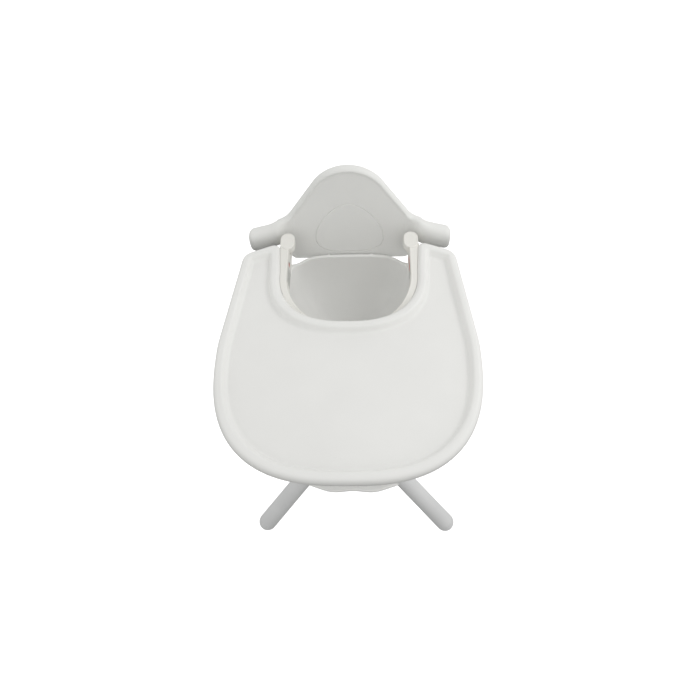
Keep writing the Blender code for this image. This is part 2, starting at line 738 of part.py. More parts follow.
def crotch_post(finish):
    """A blade between the child's legs, from the seat's front rim up to the arm rail."""
    rings = []
    low = SEAT_FRONT_TOP + GAP
    high = ARM_BOTTOM - GAP
    levels = 7
    for k in range(levels):
        part = k / (levels - 1)
        waist = 1 - 0.30 * math.sin(math.pi * part)
        y = POST_FOOT_Y + (POST_Y - POST_FOOT_Y) * part
        ring = []
        for j in range(20):
            turn = 2 * math.pi * j / 20
            x = 0.024 * waist * math.copysign(abs(math.cos(turn)) ** 0.7, math.cos(turn))
            dy = 0.0085 * math.copysign(abs(math.sin(turn)) ** 0.7, math.sin(turn))
            ring.append((x, y + dy, low + (high - low) * part))
        rings.append(ring)
    made = publish("crotch_post", stack(rings), finish)
    for tag, y, z, step in (("foot", POST_FOOT_Y, low, 1), ("top", POST_Y, high, -1)):
        place = frame_at((0.0, y, z), (0.0, 0.0, step))
        boolean(made, guide("post_pilot_" + tag, rod(0.0017, -0.002, 0.014, place, 8)), "DIFFERENCE")
    return made


def seat_screws(finish):
    """Screws through the seat's rim into the arm rail and the post, and the bolts into the chassis."""
    for side in (-1, 1):
        for x, y, tag in ARM_SCREW_PLACES:
            under = SEAT_SIDE_TOP - SEAT_FLANGE_THICK - GAP
            place = Matrix.Translation((side * x, y, under))
            bm = turned(screw_profile(0.0013, 0.018, 0.0038, 0.0025), place, SMALL_SIDES)
            publish(f"arm_screw_{word(side)}_{tag}", bm, finish)
    under = SEAT_FRONT_TOP - SEAT_FLANGE_THICK - GAP
    place = Matrix.Translation((0.0, POST_FOOT_Y, under))
    bm = turned(screw_profile(0.0013, 0.016, 0.0038, 0.0025), place, SMALL_SIDES)
    publish("post_screw", bm, finish)
    for k, (x, y) in enumerate(BOLT_PLACES):
        place = Matrix.Translation((x, y, CHASSIS_TOP - CHASSIS_PLATE - GAP))
        bm = turned(screw_profile(0.0017, 0.0075, 0.0085, 0.0035), place, 12)
        publish(f"seat_bolt_{k + 1}", bm, finish)


# ---- back ----
def shifted(point, run, inset):
    """A point of a downhill run of the panel's edge, moved into the panel."""
    size = math.hypot(*run)
    return (point[0] + inset * run[1] / size, point[1] - inset * run[0] / size)


def back_side(inset):
    """Points down the +X side of the panel in (x, z), from the crown to the bottom corner."""
    shoulder = shifted(BACK_SHOULDER, BACK_SHOULDER_RUN, inset)
    flare = shifted(BACK_FLARE, BACK_FLARE_RUN, inset)
    side = shifted(BACK_SIDE, BACK_SIDE_RUN, inset)
    foot = (0.0, BACK_BOTTOM + inset)
    neck = meet(shoulder, BACK_SHOULDER_RUN, flare, BACK_FLARE_RUN)
    hip = meet(flare, BACK_FLARE_RUN, side, BACK_SIDE_RUN)
    heel = meet(side, BACK_SIDE_RUN, foot, (1.0, 0.0))
    lean = math.degrees(math.atan(-BACK_SHOULDER_RUN[1]))
    points = arc((0.0, BACK_TOP - BACK_CROWN_RADIUS), BACK_CROWN_RADIUS - inset, 90, 90 - lean, 7)
    points += fillet(shoulder, neck, hip, BACK_NECK_RADIUS + inset, 3)
    points += fillet(neck, hip, heel, max(BACK_HIP_RADIUS - inset, 0.004), 3)
    points += fillet(hip, heel, foot, max(BACK_FOOT_RADIUS - inset, 0.005), 3)
    return points + [foot]


def back_face(z):
    """Y of the leaning front face at a height."""
    return BACK_FOOT_Y + BACK_LEAN * (z - BACK_BOTTOM)


def back_body(rows):
    """A closed body through (inset, offset behind the face) rings."""
    rings = []
    for inset, offset in rows:
        rings.append([(x, back_face(z) + offset, z) for x, z in mirrored(back_side(inset))])
    return stack(rings)


def wing(side, spare=0.0):
    """A rounded bar that grows out of the panel's face and sweeps out to a blunt end."""
    stations = list(WING_STATIONS)
    last = stations[-1]
    steps = 4
    for k in range(1, steps + 1):
        turn = math.pi / 2 * k / steps
        part = math.sin(turn)
        less = WING_END_RADIUS * (1 - math.cos(turn))
        middle = [last[n] + (WING_END[n] - last[n]) * part for n in range(3)]
        stations.append((*middle, last[3] - less, last[4] - less))
    rings = []
    for x, middle_z, middle_y, half_height, half_depth in stations:
        ring = []
        for k in range(14):
            turn = 2 * math.pi * k / 14
            dy = math.copysign(abs(math.cos(turn)) ** 0.85, math.cos(turn))
            dz = math.copysign(abs(math.sin(turn)) ** 0.85, math.sin(turn))
            y = middle_y + (half_depth + spare) * dy
            ring.append((side * x, y, middle_z + (half_height + spare) * dz))
        rings.append(ring)
    return stack(rings)


def egg_half(inset):
    """Half of the egg outline of the inset plate, in (x, z), from its top to its foot."""
    points = []
    for reach, power, start in ((EGG_RISE, 1.65, 0), (-EGG_DROP, 2.8, 1)):
        steps = 7
        for k in range(start, steps + 1):
            turn = math.pi / 2 * k / steps
            if reach < 0:
                turn = math.pi / 2 - turn
            x = (EGG_HALF_WIDTH - inset) * max(math.sin(turn), 0.0) ** (2 / power)
            size = abs(reach) - inset
            z = size * max(math.cos(turn), 0.0) ** (2 / power)
            points.append((x, EGG_MID_Z + math.copysign(z, reach)))
    return points


def egg_body(inset, front, rear):
    ring = mirrored(egg_half(inset))
    return stack([[(x, back_face(z) + y, z) for x, z in ring] for y in (front, rear)])


def back_front_shell(finish):
    """The panel and its two wings as one open-backed moulding with a rolled rim."""
    rows = [
        (0.0045, BACK_WALL),
        (0.0035, BACK_SHELL_DEPTH),
        (0.0010, BACK_SHELL_DEPTH),
        (0.0, BACK_SHELL_DEPTH - 0.002),
        (0.0, 0.006),
        (0.0015, 0.0005),
        (0.005, -0.0015),
        (0.009, -0.0008),
        (0.013, 0.0),
    ]
    made = publish("back_front_shell", back_body(rows), finish)
    for side in (-1, 1):
        boolean(made, guide(f"wing_{side}", wing(side)), "UNION")
    recess = guide("egg_recess", egg_body(0.0, -0.004, EGG_RECESS))
    boolean(made, recess, "DIFFERENCE")
    for side in (-1, 1):
        place = back_screw_frame(side)
        post = rod(0.008, -0.027, -GAP, place, 14)
        boolean(made, guide(f"back_boss_{side}", post), "UNION")
        hole = rod(0.0021, -0.060, 0.004, place, 8)
        boolean(made, guide(f"back_hole_{side}", hole), "DIFFERENCE")
        hole = rod(0.0017, -0.020, 0.004, seat_back_frame(side, SEAT_BACK_BOSS_Y[0]), 8)
        boolean(made, guide(f"back_seat_hole_{side}", hole), "DIFFERENCE")
    return made


def back_rear_cover(finish):
    """A plate that closes the panel's hollow back, inside its rim."""
    rows = [(BACK_COVER_INSET, BACK_COVER_FRONT), (BACK_COVER_INSET, BACK_COVER_REAR)]
    made = publish("back_rear_cover", back_body(rows), finish)
    for side in (-1, 1):
        hole = rod(0.0021, -0.040, 0.004, back_screw_frame(side), 8)
        boolean(made, guide(f"cover_hole_{side}", hole), "DIFFERENCE")
        boolean(made, guide(f"cover_wing_{side}", wing(side, 0.0006)), "DIFFERENCE")
    return made


def back_screws(finish):
    """Screws through the cover and the panel into the arm rail, and through the panel into the seat."""
    for side in (-1, 1):
        start = back_face(BACK_SCREW_Z + 0.005) + BACK_COVER_REAR + GAP
        length = start - (ARM_END[1] + ARM_END_RADIUS) + 0.010
        place = frame_at((side * BACK_SCREW_X, start, BACK_SCREW_Z), (0.0, -1.0, 0.0))
        bm = turned(screw_profile(0.0013, length, 0.0042, 0.0022), place, SMALL_SIDES)
        publish(f"back_screw_{word(side)}", bm, finish)
        head = 0.003
        start = back_face(SEAT_BACK_SCREW[1] + head) + BACK_WALL + GAP
        length = start - SEAT_BACK_BOSS_Y[0] + 0.0045
        bm = turned(screw_profile(0.0013, length, head, 0.002), seat_back_frame(side, start), SMALL_SIDES)
        publish(f"tab_screw_{word(side)}", bm, finish)


# ---- base ----
def word(side):
    return "right" if side > 0 else "left"


def leg_frame(side, end):
    """Z up the leg from the foot's centre; X points forwards on front legs and back on rear ones."""
    foot_y = FRONT_FOOT_Y if end > 0 else REAR_FOOT_Y
    foot = Vector((side * FOOT_X, foot_y, FOOT_CENTRE_Z))
    top = Vector((side * LEG_TOP_X, foot_y + end * LEG_TOP_Y_IN, LEG_TOP_Z))
    return frame_at(foot, top - foot, (0.0, -end, 0.0))


def leg_radius(along):
    return FOOT_RADIUS - LEG_TAPER * max(along, 0.0)


def button_frame(side, end):
    """Z points out through the leg's wall at the button."""
    place = leg_frame(side, end)
    centre = place @ Vector((0.0, 0.0, BUTTON_PLACE))
    out = place.to_3x3() @ Vector((1.0, 0.0, 0.0))
    along = place.to_3x3() @ Vector((0.0, 0.0, 1.0))
    return frame_at(centre, out, along)


def footrest_screw_frame(side):
    """Behind the front leg, pointing forwards through the footrest into the leg."""
    place = leg_frame(side, 1)
    step = place.to_3x3() @ Vector((0.0, 0.0, 1.0))
    along = (FOOTREST_SCREW_Z - FOOT_CENTRE_Z) / step.z
    axis = place @ Vector((0.0, 0.0, along))
    return frame_at((axis.x, FOOTREST_REAR_Y - 0.004, FOOTREST_SCREW_Z), (0.0, -1.0, 0.0)), axis


def leg(side, end, tag, finish):
    place = leg_frame(side, end)
    profile = [
        (leg_radius(LEG_START), LEG_START),
        (leg_radius(LEG_END) - 0.001, LEG_END),
        (leg_radius(LEG_END) - LEG_WALL, LEG_END),
        (leg_radius(LEG_START) - LEG_WALL, LEG_START),
    ]
    made = publish("leg_" + tag, turned(profile, place), finish)
    hole = rod(BUTTON_RADIUS + GAP, 0.008, 0.030, button_frame(side, end), 12)
    boolean(made, guide(f"leg_button_hole_{tag}", hole), "DIFFERENCE")
    if end > 0:
        screw, _ = footrest_screw_frame(side)
        pilot = rod(0.0017, -0.010, FOOTREST_SCREW_LENGTH + 0.004, screw, 8)
        boolean(made, guide(f"leg_pilot_{tag}", pilot), "DIFFERENCE")
    return made


def foot_cap(side, end, tag, finish):
    """A round-nosed cap with a small flat where it stands and a spigot up into the leg."""
    place = leg_frame(side, end)
    bore = leg_radius(LEG_START) - LEG_WALL
    profile = [(0.0, -FOOT_RADIUS)]
    steps = 6
    for k in range(1, steps + 1):
        turn = math.pi / 2 * k / steps
        profile.append((FOOT_RADIUS * math.sin(turn), -FOOT_RADIUS * math.cos(turn)))
    profile += [
        (leg_radius(LEG_START), LEG_START - GAP),
        (bore - 0.0005, LEG_START - GAP),
        (bore - 0.0009, SPIGOT_END),
        (0.0, SPIGOT_END),
    ]
    bm = turned(profile, place)
    cut = bmesh.ops.bisect_plane(
        bm,
        geom=list(bm.verts) + list(bm.edges) + list(bm.faces),
        plane_co=(0.0, 0.0, 0.0),
        plane_no=(0.0, 0.0, -1.0),
        clear_outer=True,
    )
    edges = [item for item in cut["geom_cut"] if isinstance(item, bmesh.types.BMEdge)]
    bmesh.ops.edgeloop_fill(bm, edges=edges)
    return publish("foot_cap_" + tag, bm, finish)


def leg_button(side, end, tag, finish):
    """A round button that springs out through the leg and the chassis socket to lock the leg in."""
    place = button_frame(side, end)
    bore = leg_radius(BUTTON_PLACE) - LEG_WALL
    profile = [
        (0.0, bore - 0.0035),
        (BUTTON_RADIUS + 0.002, bore - 0.0035),
        (BUTTON_RADIUS + 0.002, bore - 0.0018),
        (BUTTON_RADIUS, bore - 0.0018),
        (BUTTON_RADIUS, BUTTON_OUT - 0.001),
        (BUTTON_RADIUS - 0.001, BUTTON_OUT),
        (0.0, BUTTON_OUT),
    ]
    bm = turned(profile, place, 12)
    return publish("leg_button_" + tag, bm, finish, origin=place.translation)


def leg_spring(side, end, tag, finish):
    """A bent leaf spring inside the leg, from the button to the far wall."""
    place = button_frame(side, end)
    bore = leg_radius(BUTTON_PLACE) - LEG_WALL
    seat = bore - 0.0035 - GAP
    path = [(seat, 0.006), (seat, -0.007), (0.001, -0.032), (-0.004, -0.032), (-bore + 0.0035, 0.010)]
    thick = 0.0005
    half = 0.0035
    outline = []
    for k, (out, along) in enumerate(path):
        before = path[max(k - 1, 0)]
        after = path[min(k + 1, len(path) - 1)]
        run = Vector((after[0] - before[0], after[1] - before[1])).normalized()
        outline.append((Vector((out, along)), Vector((-run.y, run.x)) * thick))
    lower = [p - n for p, n in outline]
    upper = [p for p, n in outline]
    ring = lower + list(reversed(upper))
    bm = stack([[place @ Vector((p.y, across, p.x)) for p in ring] for across in (-half, half)])
    return publish("leg_spring_" + tag, bm, finish)


def rounded_ring(half_x, half_y, corner, z):
    """A rounded rectangle round the middle of the four legs."""
    quarter = arc((half_x - corner, half_y - corner), corner, 0, 90, 4)
    half = quarter + [(-x, y) for x, y in reversed(quarter)]
    ring = half + [(-x, -y) for x, y in half]
    return [(x, REAR_MIRROR_Y + y, z) for x, y in ring]


def chassis(finish):
    """A hollow moulded beam under the seat with a socket for each leg."""
    rings = [
        rounded_ring(0.036, 0.180, 0.018, 0.424),
        rounded_ring(0.044, 0.190, 0.022, 0.431),
        rounded_ring(0.050, 0.192, 0.026, 0.470),
        rounded_ring(0.058, 0.182, 0.032, 0.494),
        rounded_ring(0.056, 0.178, 0.030, CHASSIS_TOP),
    ]
    made = publish("chassis", stack(rings), finish)
    for side, end, tag in CORNERS:
        collar = rod(COLLAR_RADIUS, COLLAR_START, COLLAR_END, leg_frame(side, end), SOCKET_SIDES)
        boolean(made, guide("collar_" + tag, collar), "UNION")
    for side, end, tag in CORNERS:
        bore = rod(BORE_RADIUS, COLLAR_START - 0.01, LEG_END + GAP, leg_frame(side, end), SOCKET_SIDES)
        boolean(made, guide("bore_" + tag, bore), "DIFFERENCE")
        hole = rod(BUTTON_RADIUS + GAP, 0.010, 0.040, button_frame(side, end), 12)
        boolean(made, guide("socket_hole_" + tag, hole), "DIFFERENCE")
    hollow = stack([
        rounded_ring(0.029, 0.120, 0.010, 0.400),
        rounded_ring(0.029, 0.120, 0.010, CHASSIS_TOP - CHASSIS_PLATE),
    ])
    boolean(made, guide("chassis_hollow", hollow), "DIFFERENCE")
    for k, (x, y) in enumerate(BOLT_PLACES):
        place = Matrix.Translation((x, y, CHASSIS_TOP))
        boolean(made, guide(f"chassis_hole_{k}", rod(0.0075, -0.012, 0.004, place, 14)), "DIFFERENCE")
    return made


def footrest_half():
    """Half of the footrest's outline: a two-lobed front edge, round ends and a straight back."""
    points = []
    steps = 12
    for k in range(steps + 1):
        x = 0.140 * k / steps
        lobe = 0.0042 * math.sin(math.pi * min(x / 0.100, 1.0)) ** 2
        points.append((x, FOOTREST_FRONT_Y - lobe + 0.030 * (x / 0.140) ** 3.2))
    points += arc((0.138, -0.166), 0.0185, -60, 60, 5)
    points.append((0.120, FOOTREST_REAR_Y + 0.008))
    points.append((0.0, FOOTREST_REAR_Y + 0.010))
    return points


def footrest(finish):
    """A plate that clips round the front legs from behind."""
    outline = mirrored(footrest_half())
    edge = 0.003
    inner = [(x * 0.985, -0.168 + (y + 0.168) * 0.95) for x, y in outline]
    rings = [
        [(x, y, FOOTREST_BOTTOM) for x, y in inner],
        [(x, y, FOOTREST_BOTTOM + edge) for x, y in outline],
        [(x, y, FOOTREST_TOP - edge) for x, y in outline],
        [(x, y, FOOTREST_TOP) for x, y in inner],
    ]
    made = publish("footrest", stack(rings), finish)
    for side in (-1, 1):
        hole = rod(leg_radius(0.325) + GAP, 0.28, 0.38, leg_frame(side, 1), ROUND_SIDES)
        boolean(made, guide(f"footrest_notch_{side}", hole), "DIFFERENCE")
        screw, _ = footrest_screw_frame(side)
        pilot = rod(0.0017, -0.02, FOOTREST_SCREW_LENGTH, screw, 8)
        boolean(made, guide(f"footrest_hole_{side}", pilot), "DIFFERENCE")
    return made


def footrest_screws(finish):
    for side in (-1, 1):
        place, _ = footrest_screw_frame(side)
        place = Matrix.Translation((0.0, 0.0142, 0.0)) @ place
        bm = turned(screw_profile(0.0013, 0.052, 0.0036, 0.002), place, SMALL_SIDES)
        publish("footrest_screw_" + word(side), bm, finish)


# ---- assembly ----
def build():
    for old in list(bpy.data.objects):
        bpy.data.objects.remove(old, do_unlink=True)
    white = material("white_plastic", (0.80, 0.80, 0.78), 0.36)
    warm = material("warm_white_plastic", (0.82, 0.81, 0.77), 0.40)
    grey = material("grey_plastic", (0.50, 0.51, 0.52), 0.42)
    steel = material("zinc_steel", (0.62, 0.62, 0.60), 0.34, 1.0)
    rubber = material("foot_plastic", (0.52, 0.53, 0.54), 0.5)

    carrier = empty("tray_carrier", (0.0, 0.0, TRAY_FLOOR))
    tray_top(white, carrier)
    for side in (-1, 1):
        tray_rail(side, white, carrier)
        latch_lever(side, grey, carrier)
        latch_pin(side, steel, carrier)
        latch_spring(side, steel, carrier)
        for index in (0, 1):
            rail_screw(side, index, steel, carrier)

    arm_rail(warm)
    seat_shell(white)
    crotch_post(white)
    seat_screws(steel)
    back_front_shell(white)
    back_rear_cover(white)
    publish("back_oval_plate", egg_body(0.0005, 0.0, EGG_RECESS - GAP), white)
    back_screws(steel)

    chassis(white)
    footrest(white)
    footrest_screws(steel)
    for side, end, tag in CORNERS:
        leg(side, end, tag, grey)
        foot_cap(side, end, tag, rubber)
        leg_button(side, end, tag, grey)
        leg_spring(side, end, tag, steel)


build()
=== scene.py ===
"""Looks for the baby high chair: smooth moulded shells, grey legs and soft studio light.

Metres, +Z up, and -Y is the front.
"""

import json
import math

import bmesh
import bpy
import numpy as np
from mathutils import Matrix, Vector


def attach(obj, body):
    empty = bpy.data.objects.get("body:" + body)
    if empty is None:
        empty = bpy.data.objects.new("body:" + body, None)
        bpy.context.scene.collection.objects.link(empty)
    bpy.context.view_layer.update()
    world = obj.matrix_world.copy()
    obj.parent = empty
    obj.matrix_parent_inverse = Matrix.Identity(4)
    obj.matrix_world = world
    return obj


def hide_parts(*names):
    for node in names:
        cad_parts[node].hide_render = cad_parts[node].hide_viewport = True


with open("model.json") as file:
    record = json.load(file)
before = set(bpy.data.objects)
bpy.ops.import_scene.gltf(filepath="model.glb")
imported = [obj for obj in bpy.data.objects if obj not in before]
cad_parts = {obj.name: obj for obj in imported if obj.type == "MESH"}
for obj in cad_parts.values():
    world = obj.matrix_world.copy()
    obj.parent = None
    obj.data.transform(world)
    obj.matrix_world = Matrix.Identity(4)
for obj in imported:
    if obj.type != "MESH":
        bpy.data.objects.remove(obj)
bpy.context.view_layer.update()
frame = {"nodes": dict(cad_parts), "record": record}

GAP = 0.0003
CHAIR = "chair"
TRAY = "tray"
CORNERS = ((1, 1, "front_right"), (-1, 1, "front_left"), (1, -1, "rear_right"), (-1, -1, "rear_left"))


# ---- camera ----
CAMERA_PLACE = (0.038, -0.515, 1.593)
CAMERA_YAW = 4.09
CAMERA_DOWN = 61.4
CAMERA_ROLL = -4.06
CAMERA_LENS_MM = 26.0


def photo_camera():
    """A standing person's view down onto the tray."""
    yaw = math.radians(CAMERA_YAW)
    down = math.radians(CAMERA_DOWN)
    roll = math.radians(CAMERA_ROLL)
    forward = Vector((-math.sin(yaw) * math.cos(down), math.cos(yaw) * math.cos(down), -math.sin(down)))
    level = Vector((math.cos(yaw), math.sin(yaw), 0.0))
    upward = level.cross(forward)
    across = level * math.cos(roll) + upward * math.sin(roll)
    up = upward * math.cos(roll) - level * math.sin(roll)
    data = bpy.data.cameras.new("camera")
    data.lens = CAMERA_LENS_MM
    data.sensor_width = 36.0
    data.clip_start = 0.05
    data.clip_end = 60.0
    made = bpy.data.objects.new("camera", data)
    bpy.context.scene.collection.objects.link(made)
    turn = Matrix((across, up, -forward)).transposed().to_4x4()
    made.matrix_world = Matrix.Translation(Vector(CAMERA_PLACE)) @ turn
    bpy.context.scene.camera = made


photo_camera()


# ---- materials ----
GRAIN_SCALE = 900.0


def plastic(name, colour, roughness=0.42, mottle=0.03, grain=0.10, wear=0.0):
    """Moulded plastic: faint uneven tint, fine grain and soft flow marks in the gloss."""
    made = bpy.data.materials.new(name)
    made.use_nodes = True
    nodes = made.node_tree.nodes
    links = made.node_tree.links
    shader = nodes["Principled BSDF"]
    shader.inputs["Specular IOR Level"].default_value = 0.42
    place = nodes.new("ShaderNodeTexCoord")

    def noise(scale, detail, rough=0.5):
        item = nodes.new("ShaderNodeTexNoise")
        item.inputs["Scale"].default_value = scale
        item.inputs["Detail"].default_value = detail
        item.inputs["Roughness"].default_value = rough
        links.new(place.outputs["Object"], item.inputs["Vector"])
        return item

    cloud = noise(9.0, 4.0)
    tint = nodes.new("ShaderNodeValToRGB")
    tint.color_ramp.elements[0].position = 0.30
    tint.color_ramp.elements[1].position = 0.72
    tint.color_ramp.elements[0].color = (*[c * (1 - mottle) for c in colour], 1.0)
    tint.color_ramp.elements[1].color = (*colour, 1.0)
    links.new(cloud.outputs["Fac"], tint.inputs["Fac"])
    colour_out = tint.outputs["Color"]
    if wear > 0.0:
        speck = noise(160.0, 2.0)
        mask = nodes.new("ShaderNodeValToRGB")
        mask.color_ramp.elements[0].position = 0.70
        mask.color_ramp.elements[1].position = 0.76
        links.new(speck.outputs["Fac"], mask.inputs["Fac"])
        strength = nodes.new("ShaderNodeMath")
        strength.operation = "MULTIPLY"
        strength.inputs[1].default_value = wear
        links.new(mask.outputs["Color"], strength.inputs[0])
        mix = nodes.new("ShaderNodeMix")
        mix.data_type = "RGBA"
        mix.inputs["B"].default_value = (*[c * 0.78 for c in colour], 1.0)
        links.new(strength.outputs["Value"], mix.inputs["Factor"])
        links.new(colour_out, mix.inputs["A"])
        colour_out = mix.outputs["Result"]
    links.new(colour_out, shader.inputs["Base Color"])
    flow = noise(26.0, 5.0, 0.6)
    gloss = nodes.new("ShaderNodeMapRange")
    gloss.inputs["To Min"].default_value = roughness - 0.05
    gloss.inputs["To Max"].default_value = roughness + 0.07
    links.new(flow.outputs["Fac"], gloss.inputs["Value"])
    links.new(gloss.outputs["Result"], shader.inputs["Roughness"])
    fine = noise(GRAIN_SCALE, 2.0)
    bump = nodes.new("ShaderNodeBump")
    bump.inputs["Strength"].default_value = grain
    bump.inputs["Distance"].default_value = 0.0004
    links.new(fine.outputs["Fac"], bump.inputs["Height"])
    soft = nodes.new("ShaderNodeBump")
    soft.inputs["Strength"].default_value = 0.25
    soft.inputs["Distance"].default_value = 0.0006
    links.new(flow.outputs["Fac"], soft.inputs["Height"])
    links.new(bump.outputs["Normal"], soft.inputs["Normal"])
    links.new(soft.outputs["Normal"], shader.inputs["Normal"])
    return made


def steel(name):
    """Zinc-plated steel: fine brushed streaks and a slightly uneven polish."""
    made = bpy.data.materials.new(name)
    made.use_nodes = True
    nodes = made.node_tree.nodes
    links = made.node_tree.links
    shader = nodes["Principled BSDF"]
    shader.inputs["Metallic"].default_value = 1.0
    place = nodes.new("ShaderNodeTexCoord")
    streak = nodes.new("ShaderNodeTexNoise")
    streak.inputs["Scale"].default_value = 700.0
    streak.inputs["Detail"].default_value = 3.0
    links.new(place.outputs["Object"], streak.inputs["Vector"])
    tint = nodes.new("ShaderNodeValToRGB")
    tint.color_ramp.elements[0].color = (0.50, 0.50, 0.47, 1.0)
    tint.color_ramp.elements[1].color = (0.70, 0.70, 0.68, 1.0)
    links.new(streak.outputs["Fac"], tint.inputs["Fac"])
    links.new(tint.outputs["Color"], shader.inputs["Base Color"])
    polish = nodes.new("ShaderNodeMapRange")
    polish.inputs["To Min"].default_value = 0.25
    polish.inputs["To Max"].default_value = 0.45
    links.new(streak.outputs["Fac"], polish.inputs["Value"])
    links.new(polish.outputs["Result"], shader.inputs["Roughness"])
    return made


WHITE = plastic("white_polypropylene", (0.905, 0.905, 0.890), wear=0.10)
# The tray's white plastic again, painted a shade darker and greener: painted shade for the back panel's
# upright, less lit face.
SHADED_PANEL_WHITE = plastic("panel_polypropylene_painted_shade", (0.865, 0.867, 0.850), 0.46, wear=0.06)
WARM = plastic("warm_polypropylene", (0.890, 0.880, 0.840), 0.44)
GREY = plastic("grey_polypropylene", (0.80, 0.805, 0.81), 0.50, mottle=0.06, wear=0.15)
FOOT = plastic("foot_polymer", (0.75, 0.755, 0.76), 0.55, mottle=0.06, wear=0.15)
STEEL = steel("zinc_plate")
FILM = plastic("label_film", (0.83, 0.83, 0.81), 0.34, mottle=0.02, grain=0.03)
FILM_RED = plastic("label_red", (0.60, 0.13, 0.10), 0.34, mottle=0.10, grain=0.03)
FILM_GREY = plastic("label_grey", (0.36, 0.36, 0.34), 0.34, mottle=0.10, grain=0.03)
SLOT_FINISH = {
    "white_plastic": WHITE,
    "warm_white_plastic": WARM,
    "grey_plastic": GREY,
    "foot_plastic": FOOT,
    "zinc_steel": STEEL,
    "label_film": FILM,
}


# ---- mesh building ----
SHARP_ANGLE = 38.0


def piece(name, verts, faces, finish, body, slot, stands_for=(), angle=SHARP_ANGLE):
    """A visible piece on one body; a cutting tool has no body. The slot argument is not used."""
    mesh = bpy.data.meshes.new(name)
    mesh.from_pydata([tuple(v) for v in verts], [], [tuple(f) for f in faces])
    work = bmesh.new()
    work.from_mesh(mesh)
    bmesh.ops.recalc_face_normals(work, faces=work.faces)
    work.to_mesh(mesh)
    work.free()
    mesh.shade_smooth()
    mesh.set_sharp_from_angle(angle=math.radians(angle))
    mesh.materials.append(finish)
    made = bpy.data.objects.new(name, mesh)
    bpy.context.scene.collection.objects.link(made)
    if body:
        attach(made, body)
    if stands_for:
        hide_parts(*stands_for)
    return made


def skin(rings, loop=False):
    """Vertices and faces through closed rings that have the same count, with flat ends unless looped."""
    rings = np.asarray(rings, dtype=float)
    count, around, _ = rings.shape
    index = np.arange(count * around).reshape(count, around)
    ahead = np.roll(index, -1, axis=1)
    quads = np.stack([index[:-1], ahead[:-1], ahead[1:], index[1:]], axis=-1).reshape(-1, 4).tolist()
    if loop:
        quads += np.stack([index[-1], ahead[-1], ahead[0], index[0]], axis=-1).tolist()
    else:
        quads += [index[0][::-1].tolist(), index[-1].tolist()]
    return rings.reshape(-1, 3), quads


def flatten_shading(obj):
    """Lets the large flat faces keep their own shading next to small rounded ones."""
    step = obj.modifiers.new("weighted", "WEIGHTED_NORMAL")
    step.keep_sharp = True
    step.weight = 80
    return obj


def cut(target, tool):
    """Takes the tool's volume out of the piece now, so no helper object is left."""
    step = target.modifiers.new("cut", "BOOLEAN")
    step.operation = "DIFFERENCE"
    step.solver = "EXACT"
    step.object = tool
    graph = bpy.context.evaluated_depsgraph_get()
    result = bpy.data.meshes.new_from_object(target.evaluated_get(graph))
    target.modifiers.clear()
    old = target.data
    target.data = result
    bpy.data.meshes.remove(old)
    result.shade_smooth()
    result.set_sharp_from_angle(angle=math.radians(SHARP_ANGLE))
    bpy.data.objects.remove(tool, do_unlink=True)


def curve(points, count, closed=False):
    """A smooth curve through the points, resampled to even steps."""
    pts = np.asarray(points, dtype=float)
    if closed:
        pts = np.vstack([pts[-1], pts, pts[:2]])
    else:
        pts = np.vstack([2 * pts[0] - pts[1], pts, 2 * pts[-1] - pts[-2]])
    fine = []
    t = np.linspace(0.0, 1.0, 16, endpoint=False)[:, None]
    for a, b, c, d in zip(pts, pts[1:], pts[2:], pts[3:]):
        bend = (2 * a - 5 * b + 4 * c - d) * t**2
        twist = (3 * b - a - 3 * c + d) * t**3
        fine.append(0.5 * (2 * b + (c - a) * t + bend + twist))
    fine = np.vstack(fine + [pts[-2][None, :]])
    return even(fine, count, closed)


def even(points, count, closed=False):
    """The same line, resampled to even steps along its length."""
    pts = np.asarray(points, dtype=float)
    if closed:
        pts = np.vstack([pts, pts[:1]])
    steps = np.linalg.norm(np.diff(pts, axis=0), axis=1)
    along = np.concatenate([[0.0], np.cumsum(steps)])
    want = np.linspace(0.0, along[-1], count, endpoint=not closed)
    return np.stack([np.interp(want, along, pts[:, k]) for k in range(pts.shape[1])], axis=1)


def soften(points, passes):
    """Averages a closed line with its neighbours."""
    pts = np.asarray(points, dtype=float)
    for _ in range(passes):
        pts = 0.5 * pts + 0.25 * (np.roll(pts, 1, axis=0) + np.roll(pts, -1, axis=0))
    return pts


def inset_line(points, depth):
    """Moves a closed counter-clockwise line inwards."""
    pts = np.asarray(points, dtype=float)
    run = np.roll(pts, -1, axis=0) - np.roll(pts, 1, axis=0)
    run /= np.linalg.norm(run, axis=1)[:, None]
    return pts + depth * np.stack([-run[:, 1], run[:, 0]], axis=1)


def area_of(points):
    """Signed area of a closed line, positive when it runs counter-clockwise."""
    x, y = np.asarray(points).T
    return 0.5 * np.sum(x * np.roll(y, -1) - y * np.roll(x, -1))


def frame_at(origin, direction, side=(1.0, 0.0, 0.0)):
    """A frame at a point with Z along the direction and X as near to the side as it can be."""
    axis = Vector(direction).normalized()
    across = Vector(side) - axis * Vector(side).dot(axis)
    across.normalize()
    columns = Matrix((across, axis.cross(across), axis)).transposed().to_4x4()
    return Matrix.Translation(Vector(origin)) @ columns


def turned(profile, place, sides=72):
    """Rings of a (radius, height) profile about the Z axis of the matrix; tiny radii close the ends."""
    turns = np.linspace(0.0, 2 * math.pi, sides, endpoint=False)
    turn = np.array(place)
    rings = []
    for radius, height in profile:
        local = np.stack(
            [radius * np.cos(turns), radius * np.sin(turns), np.full(sides, height), np.ones(sides)]
        )
        rings.append((turn @ local)[:3].T)
    return rings


def arc(centre, radius, start, end, steps):
    turns = np.radians(np.linspace(start, end, steps + 1))
    return [(centre[0] + radius * math.cos(t), centre[1] + radius * math.sin(t)) for t in turns]


